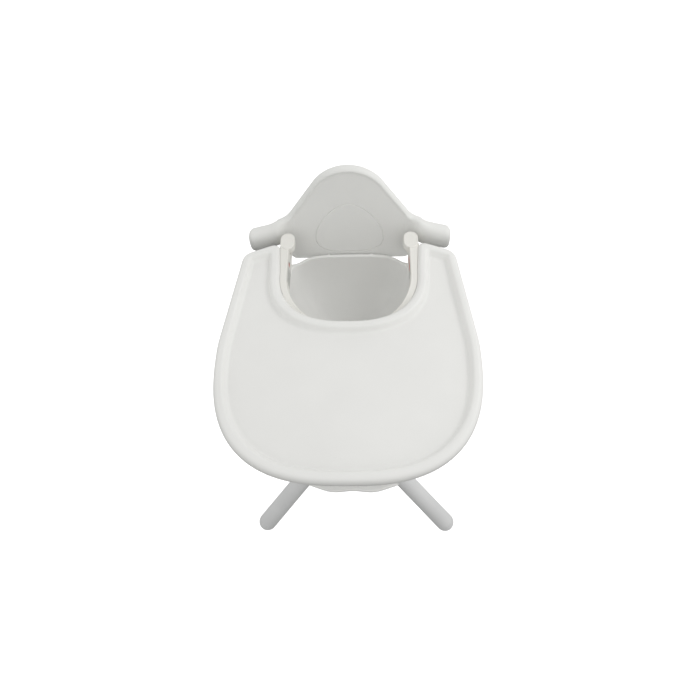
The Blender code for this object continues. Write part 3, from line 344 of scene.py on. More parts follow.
def fillet(before, corner, after, radius, steps):
    """Points that round a corner between two straight runs."""
    a = (Vector(before) - Vector(corner)).normalized()
    b = (Vector(after) - Vector(corner)).normalized()
    half = a.angle(b) / 2
    centre = Vector(corner) + (a + b).normalized() * (radius / math.sin(half))
    first = Vector(corner) + a * (radius / math.tan(half)) - centre
    last = Vector(corner) + b * (radius / math.tan(half)) - centre
    sweep = first.angle_signed(last)
    points = []
    for k in range(steps + 1):
        turn = -sweep * k / steps
        x = first.x * math.cos(turn) - first.y * math.sin(turn)
        y = first.x * math.sin(turn) + first.y * math.cos(turn)
        points.append((centre.x + x, centre.y + y))
    return points


def meet(point_a, run_a, point_b, run_b):
    """Where two straight lines cross."""
    across = run_a[0] * run_b[1] - run_a[1] * run_b[0]
    dx = point_b[0] - point_a[0]
    dy = point_b[1] - point_a[1]
    along = (dx * run_b[1] - dy * run_b[0]) / across
    return (point_a[0] + run_a[0] * along, point_a[1] + run_a[1] * along)


def mirrored(half):
    """A closed line from its +X half, which starts and ends on the middle plane."""
    half = [tuple(p) for p in half]
    return half + [(-x, y) for x, y in reversed(half[1:-1])]


def smoothstep(value):
    value = np.clip(value, 0.0, 1.0)
    return value * value * (3 - 2 * value)


# ---- smooth solids from distance fields ----
def surface_net(field, low, high, step):
    """A quad mesh of the zero level of a distance field, with its points drawn onto that level."""
    axes = [np.arange(a, b + step, step) for a, b in zip(low, high)]
    x = axes[0][:, None, None]
    y = axes[1][None, :, None]
    z = axes[2][None, None, :]
    value = field(x, y, z)
    value = np.broadcast_to(value, tuple(len(a) for a in axes))
    inside = value < 0
    cells = tuple(len(a) - 1 for a in axes)
    total = np.zeros(cells + (3,))
    hits = np.zeros(cells)
    corner = np.indices(cells).astype(float)
    for axis in range(3):
        others = [k for k in range(3) if k != axis]
        for da in (0, 1):
            for db in (0, 1):
                start = [slice(None)] * 3
                end = [slice(None)] * 3
                start[axis] = slice(0, -1)
                end[axis] = slice(1, None)
                for other, d in zip(others, (da, db)):
                    span = slice(d, d + cells[other])
                    start[other] = span
                    end[other] = span
                va = value[tuple(start)]
                vb = value[tuple(end)]
                crossed = inside[tuple(start)] != inside[tuple(end)]
                share = np.where(crossed, va / np.where(crossed, va - vb, 1.0), 0.0)
                for k in range(3):
                    if k == axis:
                        place = corner[k] + share
                    else:
                        place = corner[k] + (da, db)[others.index(k)]
                    total[..., k] += np.where(crossed, place, 0.0)
                hits += crossed
    active = hits > 0
    number = np.full(cells, -1)
    number[active] = np.arange(active.sum())
    verts = total[active] / hits[active][:, None]
    verts = verts * step + np.array([a[0] for a in axes])
    quads = []
    for axis in range(3):
        b, c = [k for k in range(3) if k != axis]
        start = [slice(1, -1)] * 3
        end = [slice(1, -1)] * 3
        start[axis] = slice(0, -1)
        end[axis] = slice(1, None)
        changed = inside[tuple(start)] != inside[tuple(end)]
        place = np.argwhere(changed)
        offset = np.ones(3, dtype=int)
        offset[axis] = 0
        place = place + offset
        ring = []
        for db, dc in ((-1, -1), (0, -1), (0, 0), (-1, 0)):
            at = place.copy()
            at[:, b] += db
            at[:, c] += dc
            ring.append(number[at[:, 0], at[:, 1], at[:, 2]])
        quad = np.stack(ring, axis=1)
        starts = inside[place[:, 0], place[:, 1], place[:, 2]]
        flip = starts if axis != 1 else ~starts
        quad[~flip] = quad[~flip][:, ::-1]
        quads.append(quad)
    quads = np.vstack(quads)
    reach = step * 0.25
    for _ in range(3):
        here = field(*verts.T)
        slope = np.stack([field(*(verts + reach * unit).T) - here for unit in np.eye(3)], axis=1) / reach
        size = np.maximum(np.sum(slope**2, axis=1), 0.04)
        move = slope * (here / size)[:, None]
        length = np.linalg.norm(move, axis=1)
        move *= np.minimum(1.0, 0.6 * step / np.maximum(length, 1e-9))[:, None]
        verts = verts - move
    return verts, quads.tolist()


def distance_map(outline, low, high, step=0.001):
    """Signed distance to a closed line in the plane, negative inside, read between grid points."""
    pts = np.asarray(outline, dtype=float)
    u = np.arange(low[0], high[0] + step, step)
    v = np.arange(low[1], high[1] + step, step)
    gu, gv = np.meshgrid(u, v, indexing="ij")
    best = np.full(gu.shape, 1e9)
    within = np.zeros(gu.shape, dtype=bool)
    for a, b in zip(pts, np.roll(pts, -1, axis=0)):
        run = b - a
        t = np.clip(((gu - a[0]) * run[0] + (gv - a[1]) * run[1]) / (run @ run), 0.0, 1.0)
        near = (gu - a[0] - t * run[0]) ** 2 + (gv - a[1] - t * run[1]) ** 2
        np.minimum(best, near, out=best)
        if a[1] != b[1]:
            spans = (a[1] > gv) != (b[1] > gv)
            within ^= spans & (gu < run[0] * (gv - a[1]) / run[1] + a[0])
    table = np.sqrt(best) * np.where(within, -1.0, 1.0)

    def read(p, q):
        fu = np.clip((p - low[0]) / step, 0, len(u) - 1.001)
        fv = np.clip((q - low[1]) / step, 0, len(v) - 1.001)
        iu = fu.astype(int)
        iv = fv.astype(int)
        du = fu - iu
        dv = fv - iv
        lower = table[iu, iv] * (1 - du) + table[iu + 1, iv] * du
        upper = table[iu, iv + 1] * (1 - du) + table[iu + 1, iv + 1] * du
        return lower * (1 - dv) + upper * dv

    return read


def merge(a, b, soft):
    """Union of two fields with a rounded inner corner."""
    h = np.clip(0.5 + 0.5 * (b - a) / soft, 0.0, 1.0)
    return b * (1 - h) + a * h - soft * h * (1 - h)


def carve(a, b, soft):
    """What is in a and not in b, with a rounded edge."""
    return -merge(-a, b, soft)


def box_corner(a, b):
    """Distance to the corner where two edges meet, from the distance to each edge."""
    return np.minimum(np.maximum(a, b), 0.0) + np.hypot(np.maximum(a, 0.0), np.maximum(b, 0.0))


def rounded_pair(a, b, radius):
    """Intersection of two fields with an outer edge of the radius."""
    return box_corner(a + radius, b + radius) - radius


# ---- tray ----
TRAY_HALF_WIDTH = 0.2548
TRAY_WIDEST_Y = -0.051
TRAY_FRONT_Y = -0.3085
TRAY_FRONT_POWER = 2.69
TRAY_SIDE_SLOPE = 0.125
TRAY_SIDE_FOOT = (0.2527, -0.020)
TRAY_REAR_POINT = (0.184, 0.2012)
TRAY_REAR_SLOPE = 0.387
TRAY_REAR_CORNER = 0.030
TRAY_HORN_CORNER = 0.012
CUT_HALF_WIDTH = 0.1425
CUT_REAR_HALF_WIDTH = 0.1475
CUT_WAIST_Y = 0.137
CUT_REAR_Y = 0.200
CUT_FRONT_Y = 0.0145
CUT_POWER = 2.5
SKIRT_OUTER = 0.716
SKIRT_INNER = 0.7225


def tray_half(inset):
    """Half of the tray's outline, from the front middle round to the middle of the cut-out."""
    reach = TRAY_WIDEST_Y - TRAY_FRONT_Y - inset
    width = TRAY_HALF_WIDTH - inset
    turns = np.linspace(0.0, math.pi / 2, 71)
    x = width * np.sin(turns) ** (2 / TRAY_FRONT_POWER)
    y = TRAY_WIDEST_Y - reach * np.maximum(np.cos(turns), 0.0) ** (2 / TRAY_FRONT_POWER)
    points = list(zip(x, y))
    side_run = (-TRAY_SIDE_SLOPE, 1.0)
    side_foot = (TRAY_SIDE_FOOT[0] - inset, TRAY_SIDE_FOOT[1])
    rear_run = (-1.0, TRAY_REAR_SLOPE)
    rear_point = (TRAY_REAR_POINT[0], TRAY_REAR_POINT[1] - inset * math.hypot(1.0, TRAY_REAR_SLOPE))
    cut_run = (CUT_HALF_WIDTH - CUT_REAR_HALF_WIDTH, CUT_WAIST_Y - CUT_REAR_Y)
    cut_point = (CUT_HALF_WIDTH + inset, CUT_WAIST_Y)
    outer = meet(side_foot, side_run, rear_point, rear_run)
    inner = meet(rear_point, rear_run, cut_point, cut_run)
    start = points[-1]
    for k in range(1, 9):
        share = k / 8
        x = start[0] + (side_foot[0] - start[0]) * share**1.7
        points.append((x, start[1] + (side_foot[1] - start[1]) * share))
    rear = fillet(side_foot, outer, inner, max(TRAY_REAR_CORNER - inset, 0.008), 16)
    horn = fillet(outer, inner, cut_point, TRAY_HORN_CORNER - 0.25 * inset, 14)
    points += run_between(points[-1], rear[0], 24)
    points += rear
    points += run_between(rear[-1], horn[0], 8)
    points += horn
    points += run_between(horn[-1], cut_point, 8)
    cut_width = CUT_HALF_WIDTH + inset
    cut_reach = CUT_WAIST_Y - CUT_FRONT_Y + inset
    turns = np.linspace(math.pi / 2, 0.0, 61)
    x = cut_width * np.maximum(np.sin(turns), 0.0) ** (2 / CUT_POWER)
    y = CUT_WAIST_Y - cut_reach * np.maximum(np.cos(turns), 0.0) ** (2 / CUT_POWER)
    return points + list(zip(x, y))


def run_between(first, last, steps):
    """Points strictly between two others."""
    shares = [k / steps for k in range(1, steps)]
    return [(first[0] + (last[0] - first[0]) * s, first[1] + (last[1] - first[1]) * s) for s in shares]


def tray_ring(inset, height):
    """The outline at one height, or with no height the skirt's lower edge, which steps at the horns."""
    plan = np.array(mirrored(tray_half(inset)))
    x, y = plan.T
    if height is not None:
        return np.column_stack([x, y, np.full(len(x), height)])
    outside = np.where(y > -0.05, smoothstep((np.abs(x) - 0.183) / 0.014), 1.0)
    outside = np.where((y > -0.05) & (np.abs(x) < CUT_REAR_HALF_WIDTH + 0.012), 0.0, outside)
    return np.column_stack([x, y, SKIRT_INNER + (SKIRT_OUTER - SKIRT_INNER) * outside])


def tray_top():
    """The moulded shell, its underside included, with the rolled rim as one smooth curve."""
    over = [(0.0040, 0.7175), (0.0009, 0.7260), (0.0, 0.7335), (0.0012, 0.7410), (0.0043, 0.7465)]
    over += [(0.0082, 0.7492), (0.0125, 0.7497), (0.0165, 0.7495), (0.0192, 0.7480), (0.0213, 0.7440)]
    over += [(0.0232, 0.7395), (0.0254, 0.7362), (0.0285, 0.7350), (0.0330, 0.7350)]
    outside = curve(over, 48)
    under = [(0.0070, 0.7175), (0.0042, 0.7270), (0.0050, 0.7390), (0.0080, 0.7447), (0.0120, 0.7467)]
    under += [(0.0165, 0.7462), (0.0192, 0.7410), (0.0225, 0.7340), (0.0285, 0.7320), (0.0325, 0.7320)]
    inside = curve(under, 26)
    rings = [tray_ring(u, z) for u, z in inside[::-1]]
    rings += [tray_ring(inset, None) for inset in (0.0068, 0.0062, 0.0048, 0.0042)]
    rings += [tray_ring(u, z) for u, z in outside]
    made = piece("tray_shell", *skin(rings), WHITE, TRAY, "white_plastic", ["tray_top"])
    return flatten_shading(made)


def tray_bosses():
    """Four posts under the tray that the rails screw onto."""
    for side, word in ((-1, "left"), (1, "right")):
        for y, end in ((0.040, "front"), (0.152, "rear")):
            place = Matrix.Translation((side * 0.188, y, 0.0))
            profile = [(0.0050, 0.7283), (0.0055, 0.7288), (0.0055, 0.7315), (0.0068, 0.7322)]
            name = f"tray_boss_{word}_{end}"
            piece(name, *skin(turned(profile, place, 40)), WHITE, TRAY, "white_plastic", ["tray_top"])


# ---- arm rail ----
ARM_TOP = 0.7205
ARM_FLANGE_BOTTOM = 0.7125
ARM_BOTTOM = 0.690
ARM_INNER = 0.130
ARM_FRONT_INNER_Y = 0.022
ARM_END = (0.142, 0.2235)
ARM_END_RADIUS = 0.0125
ARM_FLANGE_HALF_WIDTH = 0.172
CURB_OUTER = 0.1422
CURB_FLARE = 0.077
CURB_FRONT_Y = 0.0155
CURB_FOOT = 0.7140
CURB_LOW = 0.719
CURB_TOP = 0.7429
CURB_LIP = 0.0014
CURB_DIVE = 0.006
CURB_DIVE_Y = 0.203
CURB_RISE = 0.070
HEAD = (0.134, 0.218)
HEAD_REACH = 0.007
HEAD_TOP = 0.7445


def arm_line(outer, front, corner, end_radius):
    """The rail's outline: outer edge, rounded end, then the inner edge, as one smooth closed line."""
    points = [(0.0, front)]
    points += arc((outer - corner, front + corner), corner, -90, 0, 20)
    points += run_between(points[-1], (outer, 0.186), 20)
    points.append((outer, 0.186))
    points += arc(ARM_END, end_radius, -20, 200, 40)
    points.append((ARM_INNER, 0.190))
    points += run_between((ARM_INNER, 0.190), (ARM_INNER, CUT_WAIST_Y), 8)
    points += bow(ARM_INNER, ARM_FRONT_INNER_Y)
    line = soften(even(mirrored(points), 900, closed=True), 6)
    return line if area_of(line) > 0 else line[::-1]


def bow(half_width, front):
    """Points round the front of a U from its +X side to the middle."""
    points = []
    for turn in np.linspace(math.pi / 2, 0.0, 61):
        x = half_width * max(math.sin(turn), 0.0) ** (2 / CUT_POWER)
        y = CUT_WAIST_Y - (CUT_WAIST_Y - front) * max(math.cos(turn), 0.0) ** (2 / CUT_POWER)
        points.append((x, y))
    return points


def at_height(line, z):
    return np.column_stack([line, np.full(len(line), z)])


def arm_curb():
    """The raised inner edge of the rail: level at the sides, sinking under the tray at the front."""
    rear = [0.2200, 0.2150, 0.2050, 0.1950, 0.1850, 0.1750, 0.1650, 0.1550, 0.1450]
    outer = [(CURB_OUTER + CURB_FLARE * (y - CUT_WAIST_Y), y) for y in rear] + bow(CURB_OUTER, CURB_FRONT_Y)
    inner = [(ARM_INNER, y) for y in rear] + bow(ARM_INNER, ARM_FRONT_INNER_Y)
    half = list(zip(outer, inner))
    half += [((-a[0], a[1]), (-b[0], b[1])) for a, b in reversed(half[:-1])]
    rings = []
    for a, b in half:
        a = np.array(a)
        b = np.array(b)
        width = np.linalg.norm(b - a)
        run = (b - a) / width
        share = float(smoothstep((b[1] - ARM_FRONT_INNER_Y) / CURB_RISE))
        dive = CURB_DIVE * float(smoothstep((b[1] - CURB_DIVE_Y) / 0.010))
        top = CURB_LOW + (CURB_TOP - CURB_LOW) * share - dive
        lip = -CURB_LIP * share
        rows = [(0.0, CURB_FOOT), (0.0, top - 0.0070), (0.6 * lip, top - 0.0025), (lip, top - 0.0006)]
        rows += [(0.8 * lip, top), (0.0012, top), (width - 0.0046, top), (width - 0.0040, top)]
        rows += [(width - 0.0033, top + 0.0003), (width - 0.0022, top + 0.0006)]
        rows += [(width - 0.0011, top + 0.0005), (width - 0.0003, top - 0.0002)]
        rows += [(width, top - 0.0012), (width, CURB_FOOT)]
        rings.append([(*(a + run * out), z) for out, z in rows])
    made = piece("arm_curb", *skin(rings), WARM, CHAIR, "warm_white_plastic", ["arm_rail"])
    return flatten_shading(made)


def arm_heads():
    """A rounded head on each end of the rail, dished inside a fine raised lip."""
    rows = [(0.0074, 0.7160), (0.0082, 0.7165), (0.0105, 0.7200), (0.0138, 0.7250), (0.0152, 0.7285)]
    rows += [(0.0154, 0.7320), (0.0154, HEAD_TOP - 0.0022), (0.0151, HEAD_TOP - 0.0010)]
    rows += [(0.0144, HEAD_TOP - 0.0003), (0.0135, HEAD_TOP), (0.0127, HEAD_TOP - 0.0003)]
    rows += [(0.0119, HEAD_TOP - 0.0005), (0.0108, HEAD_TOP - 0.0006), (0.0085, HEAD_TOP - 0.0006)]
    for side, word in ((-1, "left"), (1, "right")):
        rings = []
        for radius, z in rows:
            ring = arc((HEAD[0], HEAD[1] - HEAD_REACH), radius, 180, 360, 36)
            ring += arc((HEAD[0], HEAD[1] + HEAD_REACH), radius, 0, 180, 36)
            rings.append([(side * x, y, z) for x, y in ring])
        made = piece("arm_head_" + word, *skin(rings), WARM, CHAIR, "warm_white_plastic", ["arm_rail"])
        flatten_shading(made)


def arm_rail():
    """The rail's beam and its wider flange, with a fine step round the flange's top edge."""
    beam = arm_line(0.150, 0.0, 0.045, ARM_END_RADIUS - 0.0008)
    flange = arm_line(ARM_FLANGE_HALF_WIDTH, -0.022, 0.010, ARM_END_RADIUS)
    lower = [(0.0045, 0.0), (0.0012, 0.0), (0.0003, 0.0004), (0.0, 0.0015)]
    rings = [at_height(inset_line(beam, inset), ARM_BOTTOM + rise) for inset, rise in lower]
    rings.append(at_height(beam, ARM_FLANGE_BOTTOM - 0.0012))
    rings.append(at_height(inset_line(flange, 0.0010), ARM_FLANGE_BOTTOM))
    rings.append(at_height(flange, ARM_FLANGE_BOTTOM + 0.0010))
    upper = [(0.0, 0.0012), (0.0004, 0.0004), (0.0012, 0.0), (0.0020, 0.0), (0.0028, 0.0003)]
    upper += [(0.0036, 0.0009), (0.0048, 0.0012), (0.0062, 0.0012)]
    rings += [at_height(inset_line(flange, inset), ARM_TOP - fall) for inset, fall in upper]
    made = piece("arm_rail_fine", *skin(rings), WARM, CHAIR, "warm_white_plastic", ["arm_rail"])
    for side in (-1, 1):
        near, far = sorted((side * (ARM_FLANGE_HALF_WIDTH - 0.0055), side * 0.178))
        corners = [(near, -0.0085), (far, -0.0085), (far, 0.1045), (near, 0.1045)]
        rings = [[(x, y, z) for x, y in corners] for z in (0.705, 0.725)]
        cut(made, piece(f"arm_recess_{side}", *skin(rings), WARM, None, None))
    return flatten_shading(made)


# ---- seat ----
SEAT_HALF_WIDTH = 0.1305
SEAT_MID_Y = 0.115
SEAT_REAR_REACH = 0.120
SEAT_FRONT_REACH = 0.117
SEAT_REAR_POWER = 4.2
SEAT_FRONT_POWER = 3.0
SEAT_SIDE_TOP = ARM_BOTTOM - GAP
SEAT_REAR_TOP = 0.668
SEAT_FRONT_TOP = 0.540
SEAT_BOTTOM = 0.505
SEAT_BOTTOM_Y = 0.100
SEAT_WALL = 0.0035
SEAT_FLANGE = 0.0185
SEAT_FLANGE_THICK = 0.004


def seat_rim():
    """Plan of the bucket's inner rim, evenly spaced, and its height."""
    turns = np.linspace(0.0, 2 * math.pi, 1440, endpoint=False)
    c = np.cos(turns)
    s = np.sin(turns)
    power = np.where(s > 0, SEAT_REAR_POWER, SEAT_FRONT_POWER)
    reach = np.where(s > 0, SEAT_REAR_REACH, SEAT_FRONT_REACH)
    x = SEAT_HALF_WIDTH * np.sign(c) * np.abs(c) ** (2 / power)
    y = SEAT_MID_Y + reach * np.sign(s) * np.abs(s) ** (2 / power)
    plan = even(np.column_stack([x, y]), 264, closed=True)
    x, y = plan.T
    rear = smoothstep((y - 0.186) / 0.033)
    front = smoothstep((0.075 - y) / 0.045)
    height = SEAT_SIDE_TOP + (SEAT_REAR_TOP - SEAT_SIDE_TOP) * rear
    return x, y, height + (SEAT_FRONT_TOP - height) * front


def seat_row(rim, depth, wall):
    """A ring of the bucket: depth 1 at the rim and 0 at the bottom, wall outwards."""
    x, y, top = rim
    fall = math.pi / 2 * depth
    spread = math.sin(fall) ** 0.72
    lift = 1 - math.cos(fall) ** 0.95 if depth < 1 else 1.0
    dy = y - SEAT_BOTTOM_Y
    size = np.hypot(x, dy)
    grown = (size * spread + wall * spread**0.5) / size
    z = SEAT_BOTTOM - wall + (top - SEAT_BOTTOM + wall) * lift
    return np.column_stack([x * grown, SEAT_BOTTOM_Y + dy * grown, z])


def seat_lip(rim, out, drop):
    """A ring of the bucket's flange, which is narrow at the rear."""
    x, y, top = rim
    size = np.hypot(x, y - SEAT_BOTTOM_Y)
    least = (0.006 - SEAT_WALL) / (SEAT_FLANGE - SEAT_WALL)
    share = 1 - (1 - least) * smoothstep((y - 0.175) / 0.030)
    reach = np.minimum(out, SEAT_WALL) + max(out - SEAT_WALL, 0.0) * share
    grown = (size + reach) / size
    return np.column_stack([x * grown, SEAT_BOTTOM_Y + (y - SEAT_BOTTOM_Y) * grown, top - drop])


def seat_shell():
    """The bucket with its rolled flange, and the posts its bolts and screws go into."""
    rim = seat_rim()
    depths = np.linspace(0.02, 1.0, 46)
    rows = [seat_row(rim, d, 0.0) for d in depths[:-1]]
    lip = [(-0.0004, 0.0022), (0.0003, 0.0008), (0.0014, 0.0001), (0.0026, 0.0)]
    lip += [(SEAT_FLANGE - 0.0016, 0.0), (SEAT_FLANGE - 0.0004, 0.0006), (SEAT_FLANGE, 0.0018)]
    lip += [(SEAT_FLANGE, SEAT_FLANGE_THICK - 0.0010), (SEAT_FLANGE - 0.0010, SEAT_FLANGE_THICK)]
    lip += [(SEAT_WALL + 0.004, SEAT_FLANGE_THICK), (SEAT_WALL + 0.001, SEAT_FLANGE_THICK + 0.002)]
    rows += [seat_lip(rim, out, drop) for out, drop in lip]
    rows += [seat_row(rim, d, SEAT_WALL) for d in depths[::-1][2:]]
    piece("seat_bucket", *skin(rows), WHITE, CHAIR, "white_plastic", ["seat_shell"])
    for k, (x, y) in enumerate(((-0.020, 0.076), (0.020, 0.076), (-0.020, 0.126), (0.020, 0.126))):
        place = Matrix.Translation((x, y, 0.0))
        rings = turned([(0.0066, 0.4965), (0.0070, 0.4970), (0.0070, 0.5035)], place, 40)
        piece(f"seat_boss_{k + 1}", *skin(rings), WHITE, CHAIR, "white_plastic", ["seat_shell"])
    for side, word in ((-1, "left"), (1, "right")):
        place = frame_at((side * 0.050, 0.2430, 0.6645), (0.0, -1.0, 0.0))
        rings = turned([(0.0030, 0.0), (0.0033, 0.0003), (0.0033, 0.0072)], place, 32)
        piece("seat_back_boss_" + word, *skin(rings), WHITE, CHAIR, "white_plastic", ["seat_shell"])


def crotch_post():
    """The waisted post from the seat's front edge up to the arm rail."""
    low = np.array((-0.0125, SEAT_FRONT_TOP + GAP))
    high = np.array((0.011, ARM_BOTTOM - GAP))
    turns = np.linspace(0.0, 2 * math.pi, 96, endpoint=False)
    c = np.sign(np.cos(turns)) * np.abs(np.cos(turns)) ** 0.7
    s = np.sign(np.sin(turns)) * np.abs(np.sin(turns)) ** 0.7
    rings = []
    steps = [(0.0, 0.0009), (0.006, 0.0)] + [(p, 0.0) for p in np.linspace(0.03, 0.97, 36)]
    steps += [(0.994, 0.0), (1.0, 0.0009)]
    for part, trim in steps:
        waist = 1 - 0.30 * math.sin(math.pi * part)
        y, z = low + (high - low) * part
        rings.append(np.column_stack([(0.024 * waist - trim) * c, y + (0.0085 - trim) * s, np.full(96, z)]))
    return piece("crotch_post_fine", *skin(rings), WHITE, CHAIR, "white_plastic", ["crotch_post"])


# ---- back ----
BACK_TOP = 0.8808
BACK_BOTTOM = 0.652
BACK_FOOT_Y = 0.24332
BACK_LEAN = 0.17
BACK_CROWN_RADIUS = 0.0920
BACK_SHOULDER = (0.0731, 0.8448)
BACK_SHOULDER_RUN = (1.0, -1.31)
BACK_FLARE = (0.1502, 0.7552)
BACK_FLARE_RUN = (1.0, -0.52)
BACK_SIDE = (0.1625, 0.740)
BACK_SIDE_RUN = (-0.0265, -0.084)
BACK_NECK_RADIUS = 0.060
BACK_HIP_RADIUS = 0.012
BACK_FOOT_RADIUS = 0.014
BACK_DEPTH = 0.0165
BACK_EDGE_RADIUS = 0.0044
BEAD_HEIGHT = 0.0015
BEAD_INSET = 0.0046
BEAD_WIDTH = 0.0030
COVER_INSET = 0.0065
COVER_FRONT = 0.0125
COVER_REAR = 0.0155
EGG_MID_Z = 0.715
EGG_HALF_WIDTH = 0.0765
EGG_RISE = 0.086
EGG_DROP = 0.043
EGG_UPPER_POWER = 1.65
EGG_LOWER_POWER = 2.8


def back_face(z):
    """Y of the leaning front face at a height."""
    return BACK_FOOT_Y + BACK_LEAN * (z - BACK_BOTTOM)


def shifted(point, run, inset):
    """A point of a downhill run of the panel's edge, moved into the panel."""
    size = math.hypot(*run)
    return (point[0] + inset * run[1] / size, point[1] - inset * run[0] / size)


def back_outline(inset=0.0):
    """The bell in (x, z), counter-clockwise."""
    shoulder = shifted(BACK_SHOULDER, BACK_SHOULDER_RUN, inset)
    flare = shifted(BACK_FLARE, BACK_FLARE_RUN, inset)
    side = shifted(BACK_SIDE, BACK_SIDE_RUN, inset)
    foot = (0.0, BACK_BOTTOM + inset)
    neck = meet(shoulder, BACK_SHOULDER_RUN, flare, BACK_FLARE_RUN)
    hip = meet(flare, BACK_FLARE_RUN, side, BACK_SIDE_RUN)
    heel = meet(side, BACK_SIDE_RUN, foot, (1.0, 0.0))
    lean = math.degrees(math.atan(-BACK_SHOULDER_RUN[1]))
    points = arc((0.0, BACK_TOP - BACK_CROWN_RADIUS), BACK_CROWN_RADIUS - inset, 90, 90 - lean, 30)
    points += fillet(shoulder, neck, hip, BACK_NECK_RADIUS + inset, 16)
    points += fillet(neck, hip, heel, max(BACK_HIP_RADIUS - inset, 0.004), 8)
    points += fillet(hip, heel, foot, max(BACK_FOOT_RADIUS - inset, 0.005), 8)
    return even(mirrored(points + [foot]), 400, closed=True)[::-1]


WING_END_X = 0.2225
WING_X = (0.115, 0.137, 0.155, 0.177, 0.200, WING_END_X)
WING_Z = (0.740, 0.7370, 0.7305, 0.7255, 0.7215, 0.7195)
WING_Y = (0.2670, 0.2620, 0.2550, 0.2506, 0.2472, 0.2428)
WING_HEIGHT = (0.014, 0.0240, 0.0318, 0.0290, 0.0285, 0.0278)
WING_DEPTH = (0.002, 0.0055, 0.0155, 0.0185, 0.0198, 0.0200)
WING_POWER = 2.35
WING_END_RADIUS = 0.012
WING_FADE_X = 0.124


def wing_field(x, y, z):
    """A rounded bar on each side that grows out of the bell and sweeps out to a blunt end."""
    ax = np.abs(x)
    knots = curve(np.column_stack([WING_X, WING_Z, WING_Y, WING_HEIGHT, WING_DEPTH]), 60)
    read = [np.interp(ax, knots[:, 0], knots[:, k]) for k in range(1, 5)]
    middle_z, middle_y, half_height, half_depth = read
    dz = np.abs(z - middle_z) / half_height
    dy = np.abs(y - middle_y) / half_depth
    size = (dz**WING_POWER + dy**WING_POWER) ** (1 / WING_POWER)
    less = WING_POWER - 1
    slope = np.hypot(dz**less / half_height, dy**less / half_depth) / np.maximum(size, 1e-6) ** less
    side = (size - 1.0) / np.maximum(slope, 1.0)
    side = np.where(size < 0.3, -0.7 * half_depth, side) + 1.2 * np.maximum(WING_FADE_X - ax, 0.0)
    return rounded_pair(side, ax - WING_END_X, WING_END_RADIUS)


def back_shell():
    """The bell with a fine bead inside its rounded edge, blended into the two wings."""
    bell = distance_map(back_outline(), (-0.235, 0.63), (0.235, 0.90))

    def field(x, y, z):
        edge = bell(x + 0 * z, z + 0 * x)
        deep = y - back_face(z)
        rim = BEAD_HEIGHT * np.exp(-(((edge + BEAD_INSET) / BEAD_WIDTH) ** 2))
        front = -(deep + rim)
        slab = np.maximum(front, deep - BACK_DEPTH)
        plate = rounded_pair(edge, slab, BACK_EDGE_RADIUS)
        return merge(plate, wing_field(x, y, z), 0.012)

    verts, quads = surface_net(field, (-0.230, 0.218, 0.648), (0.230, 0.304, 0.886), 0.0018)
    # The panel, groove and oval use the darker white, which paints in the shade of the upright face.
    return piece("back_shell", verts, quads, SHADED_PANEL_WHITE, CHAIR, "white_plastic", ["back_front_shell"], 60.0)


def egg_line(inset):
    """The egg outline in (x, z): one power of curve above its middle and another below."""
    width = EGG_HALF_WIDTH - inset
    above = 2 / EGG_UPPER_POWER
    below = 2 / EGG_LOWER_POWER
    points = []
    for turn in np.linspace(0.0, math.pi / 2, 40):
        rise = (EGG_RISE - inset) * max(math.cos(turn), 0.0) ** above
        points.append((width * math.sin(turn) ** above, EGG_MID_Z + rise))
    for turn in np.linspace(math.pi / 2, 0.0, 40)[1:]:
        drop = (EGG_DROP - inset) * max(math.cos(turn), 0.0) ** below
        points.append((width * max(math.sin(turn), 0.0) ** below, EGG_MID_Z - drop))
    return soften(even(mirrored(points), 360, closed=True), 8)


def leaned(line, deep):
    """An (x, z) line laid on the leaning face, and moved back by a depth."""
    return [(x, back_face(z) + deep, z) for x, z in line]


def egg_groove(back):
    """A fine groove round the oval, and the oval itself as its own thin plate."""
    base = egg_line(0.0)
    base = base if area_of(base) > 0 else base[::-1]
    groove = [(-0.0004, -0.004), (-0.0004, 0.0), (0.0, 0.0014), (0.0012, 0.0014)]
    groove += [(0.0016, 0.0), (0.0016, -0.004)]
    rings = [leaned(inset_line(base, inset), deep) for inset, deep in groove]
    cut(back, piece("egg_tool", *skin(rings, loop=True), SHADED_PANEL_WHITE, None, None))
    inner = inset_line(base, 0.0016)
    plate = [(0.0012, 0.0013), (0.0, 0.0008), (0.0, 0.0002), (0.0002, -0.0001)]
    plate += [(0.0007, -0.0003), (0.0016, -0.0003), (0.0040, -0.0003)]
    rings = [leaned(inset_line(inner, inset), deep) for inset, deep in plate]
    made = piece("oval_plate", *skin(rings), SHADED_PANEL_WHITE, CHAIR, "white_plastic", ["back_oval_plate"])
    return flatten_shading(made)


def rear_cover():
    rows = [(0.0, COVER_FRONT), (0.0, COVER_REAR + 0.0012), (0.0006, COVER_REAR + 0.0017)]
    rows += [(0.0016, COVER_REAR + 0.002), (0.0045, COVER_REAR + 0.002)]
    rings = [leaned(back_outline(COVER_INSET + inset), deep) for inset, deep in rows]
    made = piece("rear_cover_fine", *skin(rings), WHITE, CHAIR, "white_plastic", ["back_rear_cover"])
    return flatten_shading(made)


# ---- base ----
FOOTREST_FRONT_Y = -0.2224
FOOTREST_MID_Z = 0.319
FOOTREST_HALF_THICK = 0.007
FOOTREST_ROUND = 0.0090
FOOT_X = 0.263
FRONT_FOOT_Y = -0.244
REAR_FOOT_Y = 0.28259
FOOT_CENTRE_Z = 0.0248
FOOT_RADIUS = 0.026
LEG_TAPER = 0.0117
CAP_JOINT = 0.0125
LEG_TOP_X = 0.0555
LEG_TOP_STEP = 0.086
LEG_TOP_Z = 0.450
BUTTON_ALONG = 0.424
MIDDLE_Y = (FRONT_FOOT_Y + REAR_FOOT_Y) / 2


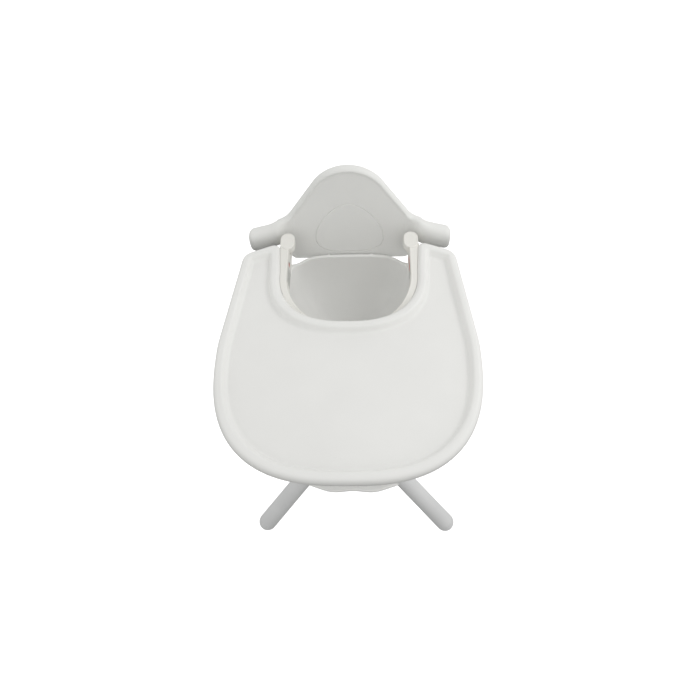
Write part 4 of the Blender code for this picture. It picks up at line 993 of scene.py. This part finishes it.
def leg_frame(side, end):
    """Z up the leg from the foot's centre; X points forwards on front legs and back on rear ones."""
    foot_y = FRONT_FOOT_Y if end > 0 else REAR_FOOT_Y
    foot = Vector((side * FOOT_X, foot_y, FOOT_CENTRE_Z))
    top = Vector((side * LEG_TOP_X, foot_y + end * LEG_TOP_STEP, LEG_TOP_Z))
    return frame_at(foot, top - foot, (0.0, -end, 0.0))


def leg_radius(along):
    return FOOT_RADIUS - LEG_TAPER * max(along, 0.0)


def button_frame(place):
    """The button hole's frame: its centre on the leg's axis, with Z out through the leg's wall."""
    turn = place.to_3x3()
    centre = place @ Vector((0.0, 0.0, BUTTON_ALONG))
    return frame_at(centre, turn @ Vector((1.0, 0.0, 0.0)), turn @ Vector((0.0, 0.0, 1.0)))


def legs():
    """Four tapered tubes, each with its button hole and a round foot cap."""
    end_radius = leg_radius(CAP_JOINT)
    tube = [(end_radius - 0.0030, CAP_JOINT), (end_radius - 0.0008, CAP_JOINT)]
    tube += [(end_radius - 0.0002, CAP_JOINT + 0.0003), (end_radius, CAP_JOINT + 0.0010)]
    tube += [(leg_radius(a), a) for a in np.linspace(0.02, 0.44, 22)]
    tube += [(leg_radius(0.445) - 0.001, 0.445), (leg_radius(0.445) - 0.003, 0.445)]
    tube += [(leg_radius(0.02) - 0.003, 0.02)]
    cap = [(0.0004, -FOOT_RADIUS)]
    for turn in np.linspace(0.0, math.pi / 2, 26)[1:]:
        cap.append((FOOT_RADIUS * math.sin(turn), -FOOT_RADIUS * math.cos(turn)))
    cap += [(leg_radius(0.006), 0.006), (end_radius, CAP_JOINT - 0.0012)]
    cap += [(end_radius - 0.0002, CAP_JOINT - 0.0006), (end_radius - 0.0008, CAP_JOINT - GAP)]
    cap += [(end_radius - 0.0036, CAP_JOINT - GAP), (end_radius - 0.0039, 0.034), (0.0004, 0.034)]
    for side, end, tag in CORNERS:
        place = leg_frame(side, end)
        solid = skin(turned(tube, place), loop=True)
        made = piece("leg_tube_" + tag, *solid, GREY, CHAIR, "grey_plastic", ["leg_" + tag])
        hole = turned([(0.0045, 0.008), (0.0045, 0.030)], button_frame(place), 40)
        cut(made, piece("leg_hole_tool", *skin(hole), GREY, None, None))
        rings = np.array(turned(cap, place))
        rings[..., 2] = np.maximum(rings[..., 2], 0.0)
        piece("foot_" + tag, *skin(rings), FOOT, CHAIR, "foot_plastic", ["foot_cap_" + tag])


def chassis():
    """The beam under the seat and its four sockets, blended into one moulding."""
    frames = [np.array(leg_frame(side, end).inverted()) for side, end, _ in CORNERS]

    def local(matrix, x, y, z):
        u, v, w = [row[0] * x + row[1] * y + row[2] * z + row[3] for row in matrix[:3]]
        return np.hypot(u, v), w

    def field(x, y, z):
        grow = smoothstep((z - 0.424) / 0.060)
        half_x = 0.040 + 0.018 * grow
        corner = 0.026
        qx = np.abs(x) - (half_x - corner)
        qy = np.abs(y - MIDDLE_Y) - (0.190 - 0.010 * grow - corner)
        plan = box_corner(qx, qy) - corner
        slab = np.abs(z - 0.4626) - 0.0386
        body = rounded_pair(plan, slab, 0.007)
        for matrix in frames:
            radius, along = local(matrix, x, y, z)
            tube = rounded_pair(radius - 0.029, np.abs(along - 0.4375) - 0.0625, 0.002)
            body = merge(body, tube, 0.016)
        body = np.maximum(body, z - 0.5012)
        qx = np.abs(x) - 0.019
        qy = np.abs(y - MIDDLE_Y) - 0.110
        well = box_corner(qx, qy) - 0.010
        body = carve(body, np.maximum(well, z - 0.4962), 0.002)
        for matrix in frames:
            radius, along = local(matrix, x, y, z)
            bore = np.maximum(radius - 0.0229, along - 0.4453)
            body = carve(body, bore, 0.0015)
        return body

    low = (-0.128, MIDDLE_Y - 0.235, 0.335)
    high = (0.128, MIDDLE_Y + 0.235, 0.506)
    verts, quads = surface_net(field, low, high, 0.0024)
    made = piece("base_beam", verts, quads, WHITE, CHAIR, "white_plastic", ["chassis"], 50.0)
    for side, end, _ in CORNERS:
        hole = turned([(0.0046, 0.010), (0.0046, 0.040)], button_frame(leg_frame(side, end)), 40)
        cut(made, piece("socket_hole_tool", *skin(hole), WHITE, None, None))


def footrest():
    """A rounded plate with a softly lobed front edge, notched where it grips the front legs."""
    points = []
    for x in np.linspace(0.0, 0.140, 60):
        lobe = 0.0042 * math.sin(math.pi * min(x / 0.100, 1.0)) ** 2
        points.append((x, FOOTREST_FRONT_Y - lobe + 0.030 * (x / 0.140) ** 3.2))
    points += arc((0.138, -0.166), 0.0185, -60, 60, 24)
    points += [(0.120, -0.120), (0.0, -0.118)]
    line = soften(even(mirrored(points), 700, closed=True), 20)
    line = line if area_of(line) > 0 else line[::-1]
    bottom = FOOTREST_MID_Z - FOOTREST_HALF_THICK
    top = FOOTREST_MID_Z + FOOTREST_HALF_THICK
    rings = [at_height(inset_line(line, inset), bottom) for inset in (FOOTREST_ROUND, 0.0060)]
    for turn in np.linspace(-math.pi / 2, math.pi / 2, 17):
        inset = FOOTREST_ROUND / 2 * (1 - math.cos(turn))
        z = FOOTREST_MID_Z + FOOTREST_HALF_THICK * math.sin(turn)
        rings.append(at_height(inset_line(line, inset), z))
    rings += [at_height(inset_line(line, inset), top) for inset in (0.0060, FOOTREST_ROUND)]
    made = piece("footrest_plate", *skin(rings), WHITE, CHAIR, "white_plastic", ["footrest"])
    for side in (-1, 1):
        profile = [(leg_radius(0.325) + GAP, 0.28), (leg_radius(0.325) + GAP, 0.38)]
        cut(made, piece("clip_tool", *skin(turned(profile, leg_frame(side, 1))), WHITE, None, None))
    return flatten_shading(made)


# ---- stickers ----
STICKER_Z = (0.693, 0.731)
STICKER_LIFT = 0.00015
PRINT_LIFT = 0.00025
BAR_TOP = 0.7275
BAR_PITCH = 0.0066
BAR_HEIGHT = 0.0030


def film(name, side, y_span, z_span, lift, finish, corner):
    """A thin rounded rectangle on the inner face of the arm rail."""
    middle = ((y_span[0] + y_span[1]) / 2, (z_span[0] + z_span[1]) / 2)
    half = ((y_span[1] - y_span[0]) / 2, (z_span[1] - z_span[0]) / 2)
    quarter = arc((half[0] - corner, half[1] - corner), corner, 0, 90, 6)
    right = quarter + [(-u, v) for u, v in reversed(quarter)]
    ring = right + [(-u, -v) for u, v in right]
    rings = []
    for depth, trim in ((lift + 0.00006, 0.0), (lift, 0.0), (lift + 0.00008, 0.00012)):
        x = side * (ARM_INNER - depth)
        shrink = (1 - trim / half[0], 1 - trim / half[1])
        rings.append([(x, middle[0] + u * shrink[0], middle[1] + v * shrink[1]) for u, v in ring])
    return piece(name, *skin(rings), finish, CHAIR, "label_film")


def stickers():
    """A plain care sticker on each inner side: a coloured band over rows of grey bars."""
    for side, word, ends, mark, rows in (
        (-1, "left", (0.120, 0.176), ((0.165, 0.174), (0.716, 0.729)), 5),
        (1, "right", (0.134, 0.190), ((0.152, 0.188), (0.714, 0.729)), 4),
    ):
        film("sticker_" + word, side, ends, STICKER_Z, STICKER_LIFT, FILM, 0.002)
        film(f"sticker_{word}_band", side, *mark, PRINT_LIFT, FILM_RED, 0.001)
        for k in range(rows):
            top = BAR_TOP - BAR_PITCH * k
            reach = (ends[0] + 0.002 + 0.003 * (k % 2), mark[0][0] - 0.003)
            name = f"sticker_{word}_bar_{k + 1}"
            film(name, side, reach, (top - BAR_HEIGHT, top), PRINT_LIFT, FILM_GREY, 0.0006)


tray_top()
tray_bosses()
arm_rail()
arm_curb()
arm_heads()
seat_shell()
crotch_post()
back = back_shell()
egg_groove(back)
rear_cover()
legs()
chassis()
footrest()
stickers()

slots = {row["node"]: row["material_slot"] for row in frame["record"]["subparts"]}
for name, node in frame["nodes"].items():
    node.data.materials.clear()
    node.data.materials.append(SLOT_FINISH[slots[name]])


# ---- stage and light ----
SKY_TILT = (0.12, 0.34, 0.933)
SKY_STEPS = ((0.20, 0.05), (0.33, 0.54), (0.50, 0.88), (0.84, 0.84), (0.98, 0.44))
FLOOR_REACH = 9
FLOOR_DROP = 0.0006


def studio():
    """A plain pale floor, and a soft sky that is darker underfoot, to the front and straight above."""
    mesh = bpy.data.meshes.new("floor")
    corners = [(x * FLOOR_REACH, y * FLOOR_REACH, 0) for x, y in ((-1, -1), (1, -1), (1, 1), (-1, 1))]
    mesh.from_pydata(corners, [], [(0, 1, 2, 3)])
    floor = bpy.data.objects.new("floor", mesh)
    bpy.context.scene.collection.objects.link(floor)
    floor.location.z = -FLOOR_DROP
    finish = bpy.data.materials.new("floor")
    finish.use_nodes = True
    shader = finish.node_tree.nodes["Principled BSDF"]
    shader.inputs["Base Color"].default_value = (0.92, 0.92, 0.92, 1.0)
    shader.inputs["Roughness"].default_value = 0.9
    shader.inputs["Specular IOR Level"].default_value = 0.1
    shader.inputs["Emission Color"].default_value = (1.0, 1.0, 1.0, 1.0)
    shader.inputs["Emission Strength"].default_value = 0.75
    mesh.materials.append(finish)
    floor.visible_diffuse = False
    floor.visible_glossy = False
    floor.visible_shadow = False
    world = bpy.data.worlds.new("world")
    bpy.context.scene.world = world
    world.use_nodes = True
    nodes = world.node_tree.nodes
    links = world.node_tree.links
    place = nodes.new("ShaderNodeTexCoord")
    tilt = nodes.new("ShaderNodeVectorMath")
    tilt.operation = "DOT_PRODUCT"
    tilt.inputs[1].default_value = SKY_TILT
    ramp = nodes.new("ShaderNodeValToRGB")
    shift = nodes.new("ShaderNodeMapRange")
    shift.inputs["From Min"].default_value = -1.0
    shift.inputs["From Max"].default_value = 1.0
    links.new(place.outputs["Generated"], tilt.inputs[0])
    links.new(tilt.outputs["Value"], shift.inputs["Value"])
    links.new(shift.outputs["Result"], ramp.inputs["Fac"])
    marks = ramp.color_ramp.elements
    marks[0].position = SKY_STEPS[0][0]
    marks[1].position = SKY_STEPS[-1][0]
    for height, _ in SKY_STEPS[1:-1]:
        marks.new(height)
    for mark, (_, level) in zip(marks, SKY_STEPS):
        mark.color = (level, level, level * 0.985, 1.0)
    links.new(ramp.outputs["Color"], nodes["Background"].inputs["Color"])


def lamp(name, place, target, size, power):
    """A round soft light that faces the target."""
    data = bpy.data.lights.new(name, "AREA")
    data.shape = "DISK"
    data.size = size
    data.energy = power
    made = bpy.data.objects.new(name, data)
    bpy.context.scene.collection.objects.link(made)
    made.location = place
    made.rotation_mode = "QUATERNION"
    made.rotation_quaternion = (Vector(target) - Vector(place)).to_track_quat("-Z", "Y")


studio()
lamp("key", (1.5, 0.5, 2.5), (0.0, 0.05, 0.7), 1.2, 12.0)
view = bpy.context.scene.view_settings
view.view_transform = "Standard"
